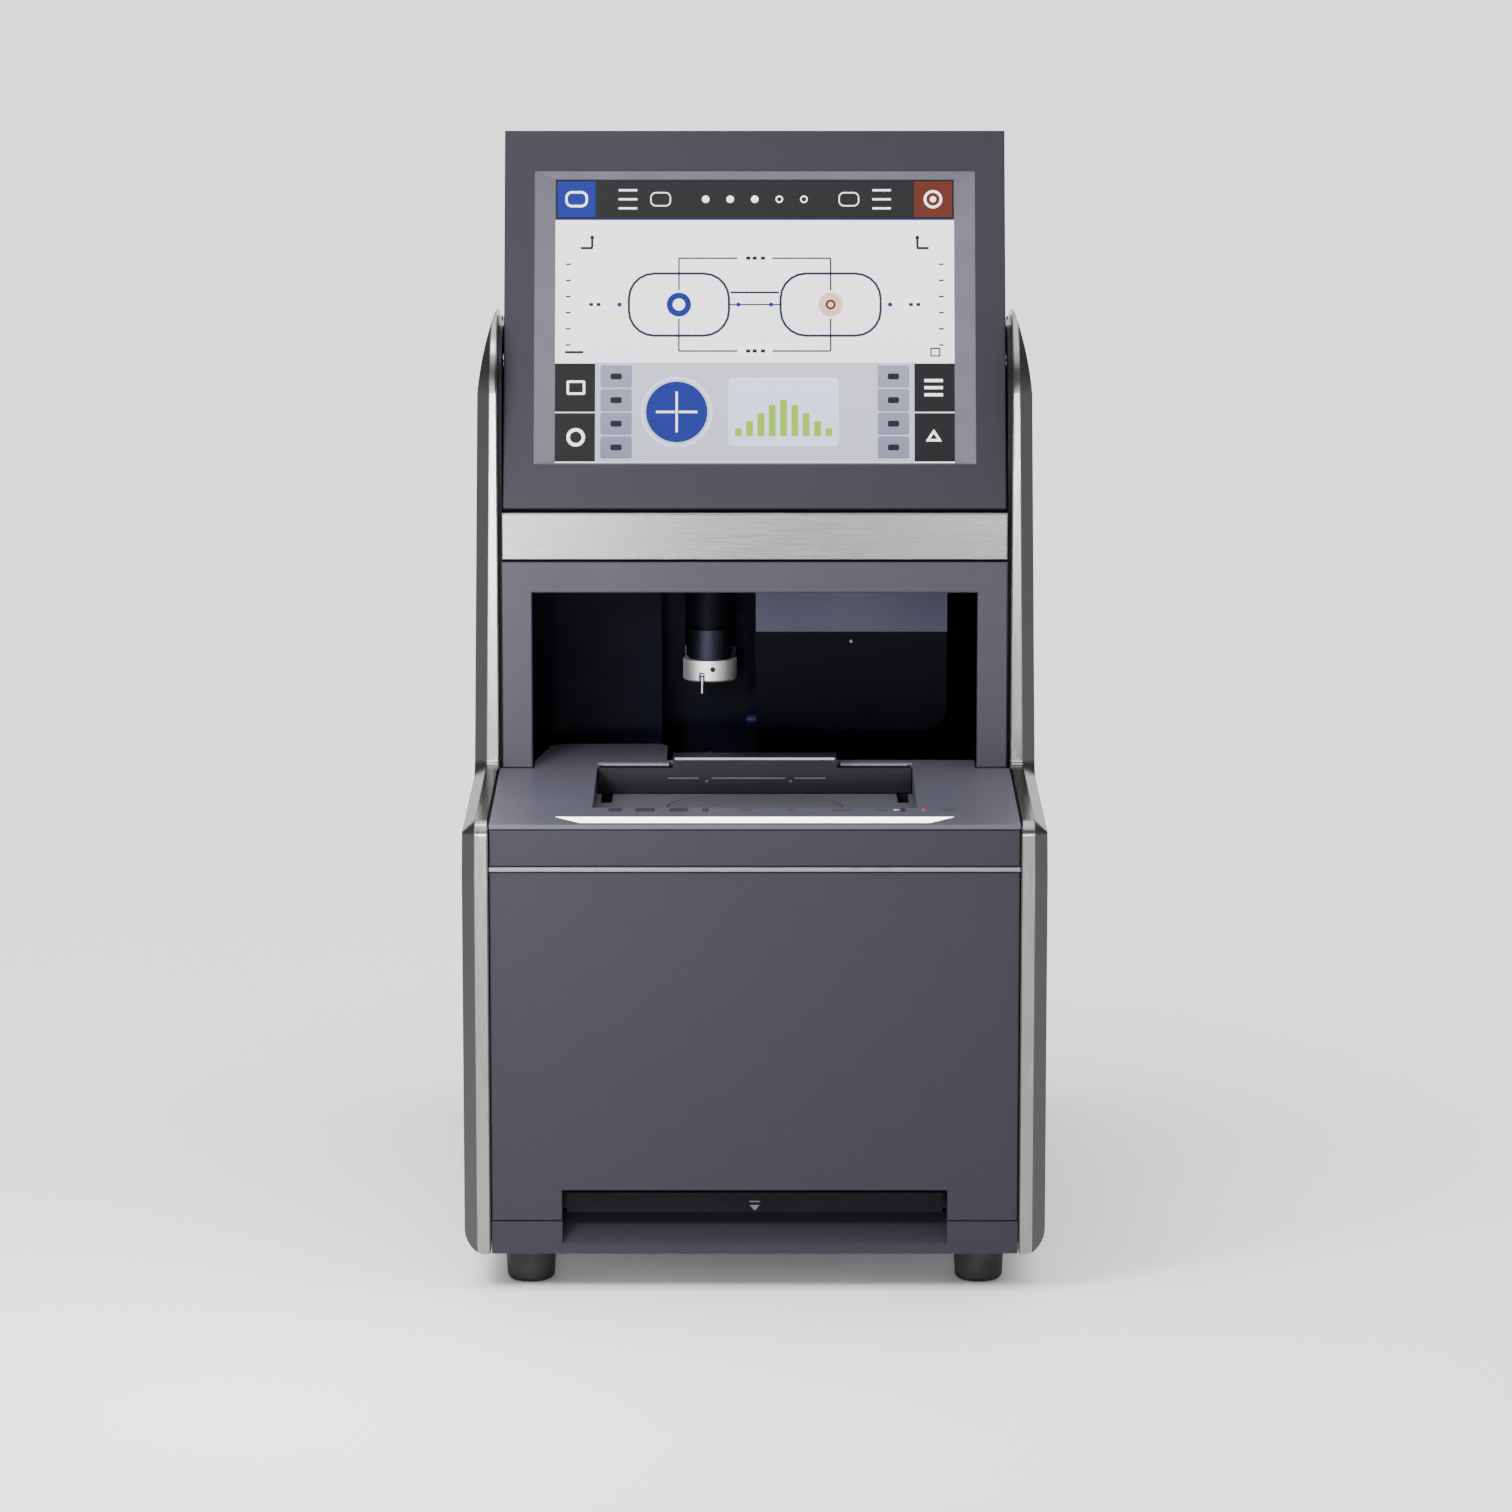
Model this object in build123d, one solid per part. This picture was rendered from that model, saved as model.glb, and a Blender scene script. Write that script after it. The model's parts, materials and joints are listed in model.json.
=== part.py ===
"""Bench machine that traces, centres and blocks spectacle lenses, as separate pieces.

X to the right, Y to the back, Z up, in millimetres.
The origin is on the bench, under the middle of the machine.
"""

import os
from math import atan2, cos, pi, radians, sin, tan

from build123d import *

os.makedirs("parts", exist_ok=True)

# Casing
WIDTH = 275.0
DEPTH = 455.0
FOOT_H = 18.5
COVER_T = 12.5
STEP_BACK = 120.0
LOWER_H = 205.8
DECK_RISE = 8.1
DECK_SUNK = 1.6
PORTAL_SIDE = 14.6
OPEN_H = 86.2
BEZEL_BAR = 15.1
BAND_GAP = 0.8
BAND_H = 23.2
PIVOT_UP = 70.5
PIVOT_BACK = 35.0
EAR_UP = 33.0
EAR_FALL = 59.2
NOSE_R = 7.0
STEP_R = 2.0
EAR_R = 38.0
REAR_R = 60.0
BEVEL = 6.0
EDGE_R = 0.8
SHELL_R = 3.0
SKIRT_R = 11.0
TAPER_H = 39.0
TAPER_IN = 10.6
TAPER_SHARE = 0.37
EAR_TIP_R = 1.6
COVER_LEAN = 0.8
LEAN_DROP = 24.0
SHADOW_GAP = 0.5
TRIM_W = 5.6
TRIM_T = 3.0
TRIM_END_BACK = 78.0
COVER_RIM = 10.0
COVER_WALL = 3.5
SHEET = 2.0
SKIN = 3.0
SKIN_IN = 5.0

# Clearances
GAP = 0.3
SIDE_GAP = 0.6
SLIDE_FIT = 0.1
TURN_FIT = 0.08
OVERRUN = 5.0

# Base, sill, fascia and feet
BASE_T = 4.0
SILL_H = 15.6
SILL_DEEP = 20.0
RAMP_RISE = 10.8
STRIP_H = 1.9
STRIP_DEEP = 3.0
STRIP_PROUD = 1.0
FASCIA_H = 17.6
DECK_T = 2.1
RAIL_W = 5.4
FOOT_R = 12.2
FOOT_NECK_R = 11.2
FOOT_ROUND = 3.0
FOOT_IN_X = 30.5
FOOT_IN_Y = 30.0
SCREW_R = 2.0
SCREW_HEAD_R = 3.6
SCREW_HEAD_H = 2.2

# Deck and light bar
DECK_BACK = 17.5
MOUTH_HALF = 77.0
MOUTH_FRONT = 36.5
MOUTH_DEEP = 93.0
HOOD_HALF = 40.0
HOOD_NOTCH = 2.0
BAR_FRONT = 5.9
BAR_DEEP = 12.0
BAR_HALF = 94.0
BAR_FRONT_HALF = 82.0
BAR_T = 1.2
SHELF_SPACE = 0.9
SHELF_X1 = 43.3
SHELF_DEEP = 36.0
SHELF_SLANT = 7.0
SHELF_R = 6.0

# Drawer
DOOR_T = 3.5
NOTCH_IN = 33.4
NOTCH_H = 14.6
POCKET_DEEP = 16.0
BUTTON_H = 9.4
BUTTON_T = 5.0
BUTTON_IN = 7.0
PIN_R = 1.5
PIN_X = 60.0
PIN_LONG = 13.0
SLIDE_SPACE = 14.0
BOX_LONG = 182.0
BOX_H = 83.0
BOX_LIFT = 17.6
RUNNER_H = 18.0
RUNNER_T = 5.0
CHANNEL_WEB = 4.0

# Tracer
SHELF_Z = 121.5
FRAME_T = 4.0
TRACER_HALF = 90.0
POST_R = 5.0
POST_X = 84.0
TURN_BACK = 80.5
STAGE_DROP = 4.8
STAGE_T = 4.0
STAGE_HALF = 95.0
DISC_R = 42.0
DISC_T = 3.2
PLATE_R = 46.0
PLATE_T = 3.0
PLATE_UP = 30.0
HUB_R = 12.0
BEARING_R = 20.0
BEARING_H = 10.0
BOSS_WALL = 6.0
PULLEY_R = 32.0
PULLEY_H = 5.0
MOTOR_PULLEY_R = 9.0
MOTOR_X = 70.0
MOTOR_HALF = 14.0
MOTOR_H = 17.0
AXLE_R = 2.5
BELT_T = 1.5
DISC_POST_R = 2.5
DISC_POST_AT = 37.0
DISC_POST_DEG = 20.0
SLOT_W = 8.0
SLOT_IN = 4.0
SLOT_OUT = 38.0
STYLUS_AT = 34.0
STYLUS_R = 3.0
TIP_R = 1.5
TIP_BALL_R = 2.0
CARRIAGE_HALF = 16.0
CARRIAGE_D = 12.0
CARRIAGE_H = 18.0
ROD_R = 2.0
ROD_X = 11.0
END_T = 4.0
JAW_ROD_R = 3.0
JAW_X = 72.0
JAW_DROP = 8.5
LEG_W = 8.4
LEG_D = 7.0
JAW_T = 9.0
FRONT_JAW_T = 4.0
FRONT_JAW_H = 5.0
REAR_JAW_H = 12.2
HOOD_H = 17.6
HOOD_D = 15.0
JAW_TRAVEL = 27.0

# Blocking bay
LINER_SPACE = 9.0
LINER_WALL = 2.0
LINER_TOP = 1.4
PIT_DROP = 19.3
BAY_FRONT = 100.0
BAY_BACK = 204.5
TAB_W = 20.0
TAB_T = 3.0
DRIVE_X1 = 47.0
OPTICS_X0 = 0.5
OPTICS_SPACE = 15.0
OPTICS_LOW = 84.0
OPTICS_BAND_H = 33.6
OPTICS_R = 12.0
BAND_T = 2.5
WINDOW_T = 2.0
CASE_WALL = 2.5
LAMP_R = 3.0
LAMP_OUT = 5.5
LAMP_BACK = 13.5
STATUS_X = 48.5
STATUS_DROP = 38.7
STATUS_R = 1.4

# Blocking head
HEAD_X = 22.7
HEAD_TRAVEL = 30.0
COLUMN_COVER_BACK = 24.0
HOUSING_R = 10.9
HOUSING_H = 15.0
STEM_R = 8.3
STEM_H = 3.0
CHUCK_R = 13.5
CHUCK_H = 10.7
SEAT_R = 6.0
SEAT_DEEP = 5.0
SPINDLE_R = 4.0
SPINDLE_H = 8.0
ARM_HALF = 12.0
ARM_H = 21.0
COLUMN_BACK = 63.5
GUIDE_R = 4.0
GUIDE_AT = 14.0
SCREW_ROD_R = 3.0
NUT_FIT = 0.35
SLIDER_HALF = 21.5
SLIDER_D = 24.0
SLIDER_H = 40.0
SLIDER_DROP = 8.0
FLANGE_T = 6.0
COLUMN_PLATE = 4.0
HEAD_MOTOR_HALF = 14.0
HEAD_MOTOR_H = 32.0
LEVER_R = 0.9
LEVER_HEAD_R = 1.3
LEVER_X = 3.9
LEVER_OUT = 9.0
LEVER_UP = 3.4
LEVER_LOW = 6.0
LEVER_SLOT = 3.0
RING_R = 23.0
RING_BORE = 15.0
RING_H = 4.0
REST_R = 2.0
REST_AT = 19.0
REST_H = 11.0
REST_TURNS = (90.0, 210.0, 330.0)
CAMERA_R = 13.0
CAMERA_H = 40.0

# Monitor
TILT = 15.5
MON_SIDE = 2.8
FRAME_SIDE = 14.7
SURROUND_SIDE = 10.2
MON_LOW = 75.0
MON_TALL = 187.1
MON_FRONT = 14.0
MON_BACK = 10.0
PART_LINE = 9.0
FRAME_LOW = 21.8
FRAME_HIGH = 166.7
SCREEN_LOW = 23.0
SCREEN_HIGH = 163.2
RECESS = 3.0
GLASS_T = 1.8
GLASS_LAP = 2.0
PANEL_T = 3.6
PANEL_LAP = 6.0
SHELL_T = 2.5
TAIL_RISE = 30.0
TAIL_IN = 6.0
HINGE_R = 4.0
HINGE_LONG = 8.7
HINGE_PLATE = 2.5
HINGE_PLATE_H = 50.0
HINGE_PLATE_D = 9.0
BUSH_R = 9.0
BUSH_LONG = 3.6
BOARD_T = 1.6

# Electronics and rear
REAR_SPACE = 37.5
SUPPLY_X = 20.0
SUPPLY_SIDE = 13.0
SUPPLY_LONG = 130.0
SUPPLY_H = 46.0
MAIN_X = 6.0
MAIN_SIDE = 11.0
MAIN_LONG = 160.0
MAIN_LIFT = 8.0
CHIP = 34.0
CHIP_H = 12.0
INLET_X = 80.0
INLET_W = 27.0
INLET_H = 20.0
INLET_DEEP = 22.0
PLUG_ROOM = 6.0
REAR_ROW_Z = 52.0
SWITCH_X = 50.0
SWITCH_W = 13.0
SWITCH_H = 19.0
SWITCH_DEEP = 14.0
SWITCH_DEG = 8.0
PORTS_X = 55.0
PORTS_W = 84.0
PORTS_H = 26.0
PORT_SHARES = (0.8, 0.6, 0.4, 0.4, 0.7)
FAN_HALF = 30.0
FAN_T = 15.0
FAN_UP = 240.0
FAN_R = 27.5
FAN_HUB_R = 11.0
FAN_BLADES = 7
BLADE_PITCH = 35.0
SPIDER_TURNS = (45.0, 135.0)
VENT_SIDE = 35.0
VENT_H = 3.0
VENT_PITCH = 9.0
VENT_ROWS = 6
VENT_UP = 120.0
CASE_SCREW_IN = 14.0

# Worked-out places
HALF = WIDTH / 2
INNER = HALF - COVER_T
FRONT = -DEPTH / 2
BACK = DEPTH / 2
BASE_Z = FOOT_H
BASE_TOP = BASE_Z + BASE_T
SILL_TOP = BASE_Z + SILL_H
DECK_Z = BASE_Z + LOWER_H
UPPER_Y = FRONT + STEP_BACK
STEP_Z = DECK_Z + DECK_RISE
OPEN_TOP = STEP_Z + OPEN_H
BEZEL_TOP = OPEN_TOP + BEZEL_BAR
BAND_Z = BEZEL_TOP + BAND_GAP
BAND_TOP = BAND_Z + BAND_H
PIVOT_Y = UPPER_Y + PIVOT_BACK
PIVOT_Z = BAND_TOP + PIVOT_UP
EAR_Z = PIVOT_Z + EAR_UP
EAR_SLOPE = atan2(EAR_FALL, DEPTH - STEP_BACK)
EAR_PEAK = EAR_Z - EAR_R * (tan(pi / 4 + EAR_SLOPE / 2) - 1)
LEAN_Z = DECK_Z - LEAN_DROP
PANEL_HALF = INNER - SIDE_GAP
CHASSIS_HALF = INNER - SHEET
CHASSIS_IN = SKIN_IN + SKIN + GAP
OPEN_HALF = CHASSIS_HALF - PORTAL_SIDE
BOX_HALF = CHASSIS_HALF - SLIDE_SPACE
NOTCH_HALF = PANEL_HALF - NOTCH_IN
LINER_HALF = CHASSIS_HALF - LINER_SPACE
OPTICS_X1 = LINER_HALF - LINER_WALL - OPTICS_SPACE
SHELF_X0 = OPEN_HALF - SHELF_SPACE
MON_HALF = INNER - MON_SIDE
SURROUND_HALF = MON_HALF - FRAME_SIDE
SCREEN_HALF = SURROUND_HALF - SURROUND_SIDE
VENT_HALF = INNER - VENT_SIDE
SKIN_Y = FRONT + SHEET
FASCIA_TOP = DECK_Z - DECK_T - GAP
FASCIA_Z = FASCIA_TOP - FASCIA_H
STRIP_Z = FASCIA_Z - STRIP_H
DOOR_Z = SILL_TOP + GAP
DOOR_TOP = STRIP_Z - GAP
CHASSIS_FRONT = FRONT + CHASSIS_IN
SHELF_TOP = BASE_Z + SHELF_Z + SHEET
STAGE_TOP = DECK_Z - STAGE_DROP
STAGE_Z = STAGE_TOP - STAGE_T
FRAME_TOP = SHELF_TOP + FRAME_T
TURN_Y = FRONT + TURN_BACK
CEILING = OPEN_TOP + LINER_TOP
PIT_Z = DECK_Z - PIT_DROP
BAY_Y = UPPER_Y + BAY_FRONT
BAY_END = UPPER_Y + BAY_BACK
MOUTH_Y0 = FRONT + MOUTH_FRONT
MOUTH_Y1 = MOUTH_Y0 + MOUTH_DEEP
DECK_END = UPPER_Y + DECK_BACK


def block(x0, x1, y0, y1, z0, z1):
    """Box between three pairs of limits."""
    middle = ((x0 + x1) / 2, (y0 + y1) / 2, (z0 + z1) / 2)
    return Pos(*middle) * Box(x1 - x0, y1 - y0, z1 - z0)


def rod_x(radius, y, z, x0, x1):
    """Round bar along X."""
    return Pos((x0 + x1) / 2, y, z) * Rot(0, 90, 0) * Cylinder(radius, x1 - x0)


def rod_y(radius, x, z, y0, y1):
    """Round bar along Y."""
    return Pos(x, (y0 + y1) / 2, z) * Rot(90, 0, 0) * Cylinder(radius, y1 - y0)


def rod_z(radius, x, y, z0, z1):
    """Round bar along Z."""
    return Pos(x, y, (z0 + z1) / 2) * Cylinder(radius, z1 - z0)


def slab_x(points, x0, x1):
    """Plate of a YZ outline between two places along X."""
    face = Plane.YZ * make_face(Polyline(*points, close=True).edges())
    return extrude(Pos(x0, 0, 0) * face, amount=x1 - x0, dir=(1, 0, 0))


def mirrored(shape):
    """The same piece on the other side."""
    return mirror(shape, about=Plane.YZ)


def soft_front(panel):
    """The same panel with the edges of its front face rounded."""
    return fillet(panel.faces().sort_by(Axis.Y)[0].edges(), EDGE_R)


def save(name, *solids):
    """Write one named piece, or one group of like pieces."""
    shape = solids[0] if len(solids) == 1 else Compound(children=list(solids))
    export_step(shape, f"parts/{name}.step")


def save_pair(name, right):
    """Write a piece and its twin on the left as one group."""
    save(name, right, mirrored(right))


def deck_z(y):
    """Height of the sloping deck at a depth."""
    return DECK_Z + (y - FRONT) * DECK_RISE / STEP_BACK


def deck_slab(x0, x1, y0, y1, top, thick):
    """Part of the sloping deck, its top this far below the deck line."""
    corners = [
        (y0, deck_z(y0) - top),
        (y1, deck_z(y1) - top),
        (y1, deck_z(y1) - top - thick),
        (y0, deck_z(y0) - top - thick),
    ]
    return slab_x(corners, x0, x1)


def side_face(inset=0, step_r=STEP_R):
    """Side outline of the casing in the YZ plane, drawn in by an inset."""
    corners = [
        (FRONT, BASE_Z),
        (FRONT, DECK_Z + DECK_SUNK),
        (UPPER_Y, STEP_Z + DECK_SUNK),
        (UPPER_Y, EAR_Z),
        (BACK, EAR_Z - EAR_FALL),
        (BACK, BASE_Z),
    ]
    radii = [0, NOSE_R, step_r, EAR_R, REAR_R, 0]
    face = make_face(FilletPolyline(*corners, radius=radii, close=True).edges())
    return offset(face, amount=-inset, kind=Kind.INTERSECTION) if inset else face


def side_plate(x0, x1, inset=0, step_r=STEP_R):
    """Plate of the side outline between two places along X."""
    face = Plane.YZ * side_face(inset, step_r)
    return extrude(Pos(x0, 0, 0) * face, amount=x1 - x0, dir=(1, 0, 0))


def front_region():
    """Space along the front edges, where the trim runs."""
    low = block(INNER, HALF, FRONT, FRONT + NOSE_R, BASE_Z, STEP_Z + COVER_RIM)
    deck = block(INNER, HALF, FRONT, UPPER_Y + COVER_RIM, DECK_Z - COVER_RIM, STEP_Z + COVER_RIM)
    high = block(INNER, HALF, UPPER_Y, UPPER_Y + TRIM_END_BACK, STEP_Z, EAR_Z)
    return low + deck + high


def front_strip(x0, x1):
    """Strip along the front edge of a side cover between two places along X."""
    ring = side_plate(x0, x1) - side_plate(x0, x1, TRIM_T)
    side = leaned(block(0, x1, FRONT - OVERRUN, BACK, 0, EAR_Z + EAR_R))
    strip = ring & front_region() & cover_envelope() & side
    return strip - block(INNER, HALF, FRONT + TRIM_T, BACK, BASE_Z, DECK_Z - COVER_RIM)


def side_trim():
    """Brushed strip that follows the front edge of a side cover."""
    return front_strip(INNER + SHADOW_GAP, INNER + SHADOW_GAP + TRIM_W)


def leaned(shape):
    """The same shape, tilted inwards about the line where a cover begins to lean."""
    return Pos(HALF, 0, LEAN_Z) * Rot(0, -COVER_LEAN, 0) * Pos(-HALF, 0, -LEAN_Z) * shape


def cover_envelope():
    """Front view of a cover: round at the skirt and drawn in at the ear."""
    bend = EAR_PEAK - TAPER_H
    tip = EAR_PEAK - EAR_TIP_R
    side = HALF - TAPER_IN
    start = HALF - (bend - LEAN_Z) * tan(radians(COVER_LEAN))
    middle = start - (start - side) * TAPER_SHARE
    with BuildLine() as outline:
        Line((INNER, BASE_Z), (HALF - SKIRT_R, BASE_Z))
        RadiusArc((HALF - SKIRT_R, BASE_Z), (HALF, BASE_Z + SKIRT_R), -SKIRT_R)
        Line((HALF, BASE_Z + SKIRT_R), (HALF, bend))
        Line((HALF, bend), (start, bend))
        ThreePointArc((start, bend), (middle, (bend + tip) / 2), (side, tip))
        RadiusArc((side, tip), (side - EAR_TIP_R, EAR_PEAK), -EAR_TIP_R)
        Line((side - EAR_TIP_R, EAR_PEAK), (INNER, EAR_PEAK))
        Line((INNER, EAR_PEAK), (INNER, BASE_Z))
    face = Plane.XZ * make_face(outline.line.edges())
    return extrude(face, amount=DEPTH, both=True)


def bevelled_plate(x0):
    """Plate of a side cover from this place outwards, with its bevelled front edge."""
    plate = side_plate(x0, HALF)
    outer = plate.faces().sort_by(Axis.X)[-1]
    edges = outer.edges()
    chain = [e for e in edges if e.center().Y < UPPER_Y + EAR_R and e.center().Z > FOOT_H + SKIRT_R]
    return chamfer(chain, length=BEVEL, length2=BEVEL, reference=outer)


def side_cover():
    """Moulded side cover that leans in above the deck, with its hollow inner side."""
    plate = bevelled_plate(INNER) & leaned(bevelled_plate(INNER - COVER_T)) & cover_envelope()
    wall = HALF - COVER_WALL
    pocket = side_plate(INNER, wall, COVER_RIM) & leaned(side_plate(INNER - COVER_T, wall, COVER_RIM))
    pocket -= block(0, HALF, FRONT, BACK, EAR_Z - TAPER_H, EAR_Z)
    pocket += rod_x(BUSH_R + SIDE_GAP, PIVOT_Y, PIVOT_Z, INNER, INNER + BUSH_LONG + SIDE_GAP)
    return plate - pocket - front_strip(INNER, INNER + SHADOW_GAP + TRIM_W)


def chassis_plate():
    """Steel side plate behind a cover, with the hole for the monitor's hinge pin."""
    plate = side_plate(CHASSIS_HALF, INNER, CHASSIS_IN, SHEET)
    plate = plate - block(0, HALF, FRONT, BACK, BASE_Z, BASE_TOP)
    return plate - rod_x(HINGE_R + TURN_FIT, PIVOT_Y, PIVOT_Z, INNER - COVER_T, HALF)


def base_plate():
    """Steel floor with holes for the foot screws."""
    plate = block(-INNER, INNER, FRONT + CHASSIS_IN, BACK - CHASSIS_IN, BASE_Z, BASE_TOP)
    for x, y in foot_places():
        plate -= rod_z(SCREW_R + SLIDE_FIT, x, y, BASE_Z - OVERRUN, BASE_TOP + OVERRUN)
    return plate


def foot_places():
    """Centres of the four feet."""
    x = HALF - FOOT_IN_X
    y = BACK - FOOT_IN_Y
    return [(-x, -y), (x, -y), (-x, y), (x, y)]


def rubber_foot(x, y):
    """Slightly conical foot with a round lower edge and a well for its screw."""
    cone = Pos(x, y, FOOT_H / 2) * Cone(FOOT_NECK_R, FOOT_R, FOOT_H)
    cone = fillet(cone.edges().sort_by(Axis.Z)[0], FOOT_ROUND)
    well = rod_z(SCREW_HEAD_R + SLIDE_FIT, x, y, -OVERRUN, FOOT_H / 2)
    return cone - well - rod_z(SCREW_R + SLIDE_FIT, x, y, 0, FOOT_H + OVERRUN)


def foot_screw(x, y):
    """Screw that holds a foot to the base."""
    shank = rod_z(SCREW_R, x, y, FOOT_H / 2 - SCREW_HEAD_H, BASE_TOP + SCREW_HEAD_H)
    return shank + rod_z(SCREW_HEAD_R, x, y, FOOT_H / 2 - SCREW_HEAD_H, FOOT_H / 2)


def sill():
    """Front bar under the drawer, with a ramp for the fingers."""
    bar = block(-CHASSIS_HALF, CHASSIS_HALF, SKIN_Y, SKIN_Y + SILL_DEEP, BASE_TOP, SILL_TOP)
    bar += block(-PANEL_HALF, PANEL_HALF, SKIN_Y, CHASSIS_FRONT, BASE_Z, SILL_TOP)
    ramp = [
        (SKIN_Y - OVERRUN, SILL_TOP - RAMP_RISE),
        (SKIN_Y, SILL_TOP - RAMP_RISE),
        (SKIN_Y + SILL_DEEP, SILL_TOP),
        (SKIN_Y - OVERRUN, SILL_TOP + OVERRUN),
    ]
    return bar - slab_x(ramp, -NOTCH_HALF, NOTCH_HALF)


def fascia():
    """Front panel between the drawer and the deck, with side returns."""
    panel = soft_front(block(-PANEL_HALF, PANEL_HALF, SKIN_Y, SKIN_Y + SKIN, FASCIA_Z, FASCIA_TOP))
    lip_x = PANEL_HALF - RAIL_W
    lip = block(lip_x, PANEL_HALF, SKIN_Y + SKIN, CHASSIS_FRONT, FASCIA_Z, FASCIA_TOP - DECK_T)
    return panel + lip + mirrored(lip)


def trim_strip():
    """Thin bright strip under the fascia."""
    return block(-PANEL_HALF, PANEL_HALF, SKIN_Y - STRIP_PROUD, SKIN_Y + STRIP_DEEP, STRIP_Z, FASCIA_Z)


def light_bar_place():
    """Place of the light bar on the slope of the deck."""
    y = FRONT + BAR_FRONT + BAR_DEEP / 2
    slope = Plane(origin=(0, y, deck_z(y)), x_dir=(1, 0, 0), z_dir=(0, -DECK_RISE, STEP_BACK))
    return Location(slope)


def light_bar_shape(grow, thick):
    """Boat-hull outline of the light bar, sunk into the deck."""
    y = BAR_DEEP / 2 + grow
    back = BAR_HALF + grow
    front = BAR_FRONT_HALF + grow
    face = make_face(Polyline((-back, y), (-front, -y), (front, -y), (back, y), close=True).edges())
    return light_bar_place() * extrude(face, amount=-thick)


def deck():
    """Sloping deck with the mouth of the tracer and a bevelled rim behind it."""
    body = deck_slab(-PANEL_HALF, PANEL_HALF, SKIN_Y, UPPER_Y - GAP, 0, DECK_T)
    body = fillet(body.edges().filter_by(Axis.X).group_by(Axis.Y)[0].sort_by(Axis.Z)[-1], EDGE_R)
    body += deck_slab(-OPEN_HALF + SIDE_GAP, OPEN_HALF - SIDE_GAP, SKIN_Y, DECK_END, 0, DECK_T)
    rail_h = CHASSIS_IN - DECK_SUNK - DECK_T - GAP
    rail = deck_slab(PANEL_HALF - RAIL_W, PANEL_HALF, CHASSIS_FRONT, UPPER_Y - GAP, DECK_T, rail_h)
    body = body + rail + mirrored(rail)
    rim = STAGE_TOP + GAP
    wall_x = MOUTH_HALF + SHEET
    well = block(-wall_x, wall_x, MOUTH_Y0 - SHEET, MOUTH_Y1 + SHEET, rim, STEP_Z)
    well = well & slab_x(
        [(FRONT, rim), (FRONT, DECK_Z - DECK_T), (DECK_END, deck_z(DECK_END) - DECK_T), (DECK_END, rim)],
        -wall_x,
        wall_x,
    )
    body += well
    top = EAR_Z
    body -= block(-MOUTH_HALF, MOUTH_HALF, MOUTH_Y0, MOUTH_Y1, BASE_Z, top)
    notch = HOOD_HALF + HOOD_NOTCH
    body -= block(-notch, notch, MOUTH_Y1 - OVERRUN, DECK_END - HOOD_NOTCH, BASE_Z, top)
    bevel = [
        (MOUTH_Y1 - OVERRUN, deck_z(MOUTH_Y1) - DECK_T),
        (MOUTH_Y1, deck_z(MOUTH_Y1) - DECK_T),
        (MOUTH_Y1 + DECK_T, deck_z(MOUTH_Y1 + DECK_T)),
        (MOUTH_Y1 + DECK_T, top),
        (MOUTH_Y1 - OVERRUN, top),
    ]
    body -= slab_x(bevel, -MOUTH_HALF, MOUTH_HALF)
    return body + ledge() - light_bar_shape(0, BAR_T)


def ledge():
    """Ledge at the left behind the mouth, with a slanted outer end and a round inner corner."""
    plate = deck_slab(-SHELF_X0, -SHELF_X1, DECK_END, DECK_END + SHELF_DEEP, 0, DECK_T)
    with BuildLine(Plane.XY) as corner:
        Polyline(
            (-SHELF_X0, DECK_END),
            (-SHELF_X0 + SHELF_SLANT, DECK_END + SHELF_DEEP),
            (-SHELF_X0, DECK_END + SHELF_DEEP),
            close=True,
        )
    plate -= Pos(0, 0, DECK_Z) * extrude(make_face(corner.line.edges()), amount=STEP_BACK, both=True)
    edges = [e for e in plate.edges().filter_by(Axis.Z) if e.center().Y > DECK_END + SHELF_R]
    return fillet(edges, SHELF_R)


def bezel():
    """Portal round the blocking bay, resting on the deck."""
    y1 = UPPER_Y + CHASSIS_IN - GAP
    frame = block(-CHASSIS_HALF, CHASSIS_HALF, UPPER_Y, y1, STEP_Z, BEZEL_TOP)
    frame -= block(-OPEN_HALF, OPEN_HALF, UPPER_Y - OVERRUN, y1 + OVERRUN, BASE_Z, OPEN_TOP)
    return soft_front(frame)


def band():
    """Brushed strip between the bezel and the monitor."""
    return soft_front(block(-CHASSIS_HALF, CHASSIS_HALF, UPPER_Y, UPPER_Y + SKIN, BAND_Z, BAND_TOP))


def well_panel():
    """Sheet that closes the space under and behind the monitor."""
    floor_z = BAND_TOP - SILL_H
    y1 = PIVOT_Y + EAR_R + COVER_WALL
    sheet = block(-CHASSIS_HALF, CHASSIS_HALF, UPPER_Y + SKIN, y1 + SHEET, floor_z, floor_z + SHEET)
    front = UPPER_Y + SKIN
    sheet += block(-CHASSIS_HALF, CHASSIS_HALF, front, front + SHEET, BAND_Z, floor_z + SHEET)
    rise = block(-CHASSIS_HALF, CHASSIS_HALF, y1, y1 + SHEET, floor_z, EAR_Z)
    return sheet + (rise & side_plate(-INNER, INNER, SKIN_IN + SKIN))


def skin(region):
    """Part of the outer skin between the side covers, cut from the side outline."""
    ring = side_plate(-PANEL_HALF, PANEL_HALF, SKIN_IN)
    return (ring - side_plate(-PANEL_HALF - OVERRUN, PANEL_HALF + OVERRUN, SKIN_IN + SKIN)) & region


def top_cover():
    """Cover behind the monitor that bends down to the back."""
    y0 = PIVOT_Y + EAR_R + COVER_WALL
    z0 = EAR_Z - EAR_FALL - REAR_R
    return skin(block(-INNER, INNER, y0, BACK, z0, EAR_Z))


def rear_screw_places():
    """Centres of the screws that hold the back cover."""
    x = INNER - CASE_SCREW_IN
    top = EAR_Z - EAR_FALL - REAR_R
    low = BASE_TOP + CASE_SCREW_IN
    high = top - CASE_SCREW_IN
    return [(s * x, z) for s in (-1, 1) for z in (low, (low + high) / 2, high)]


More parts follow.
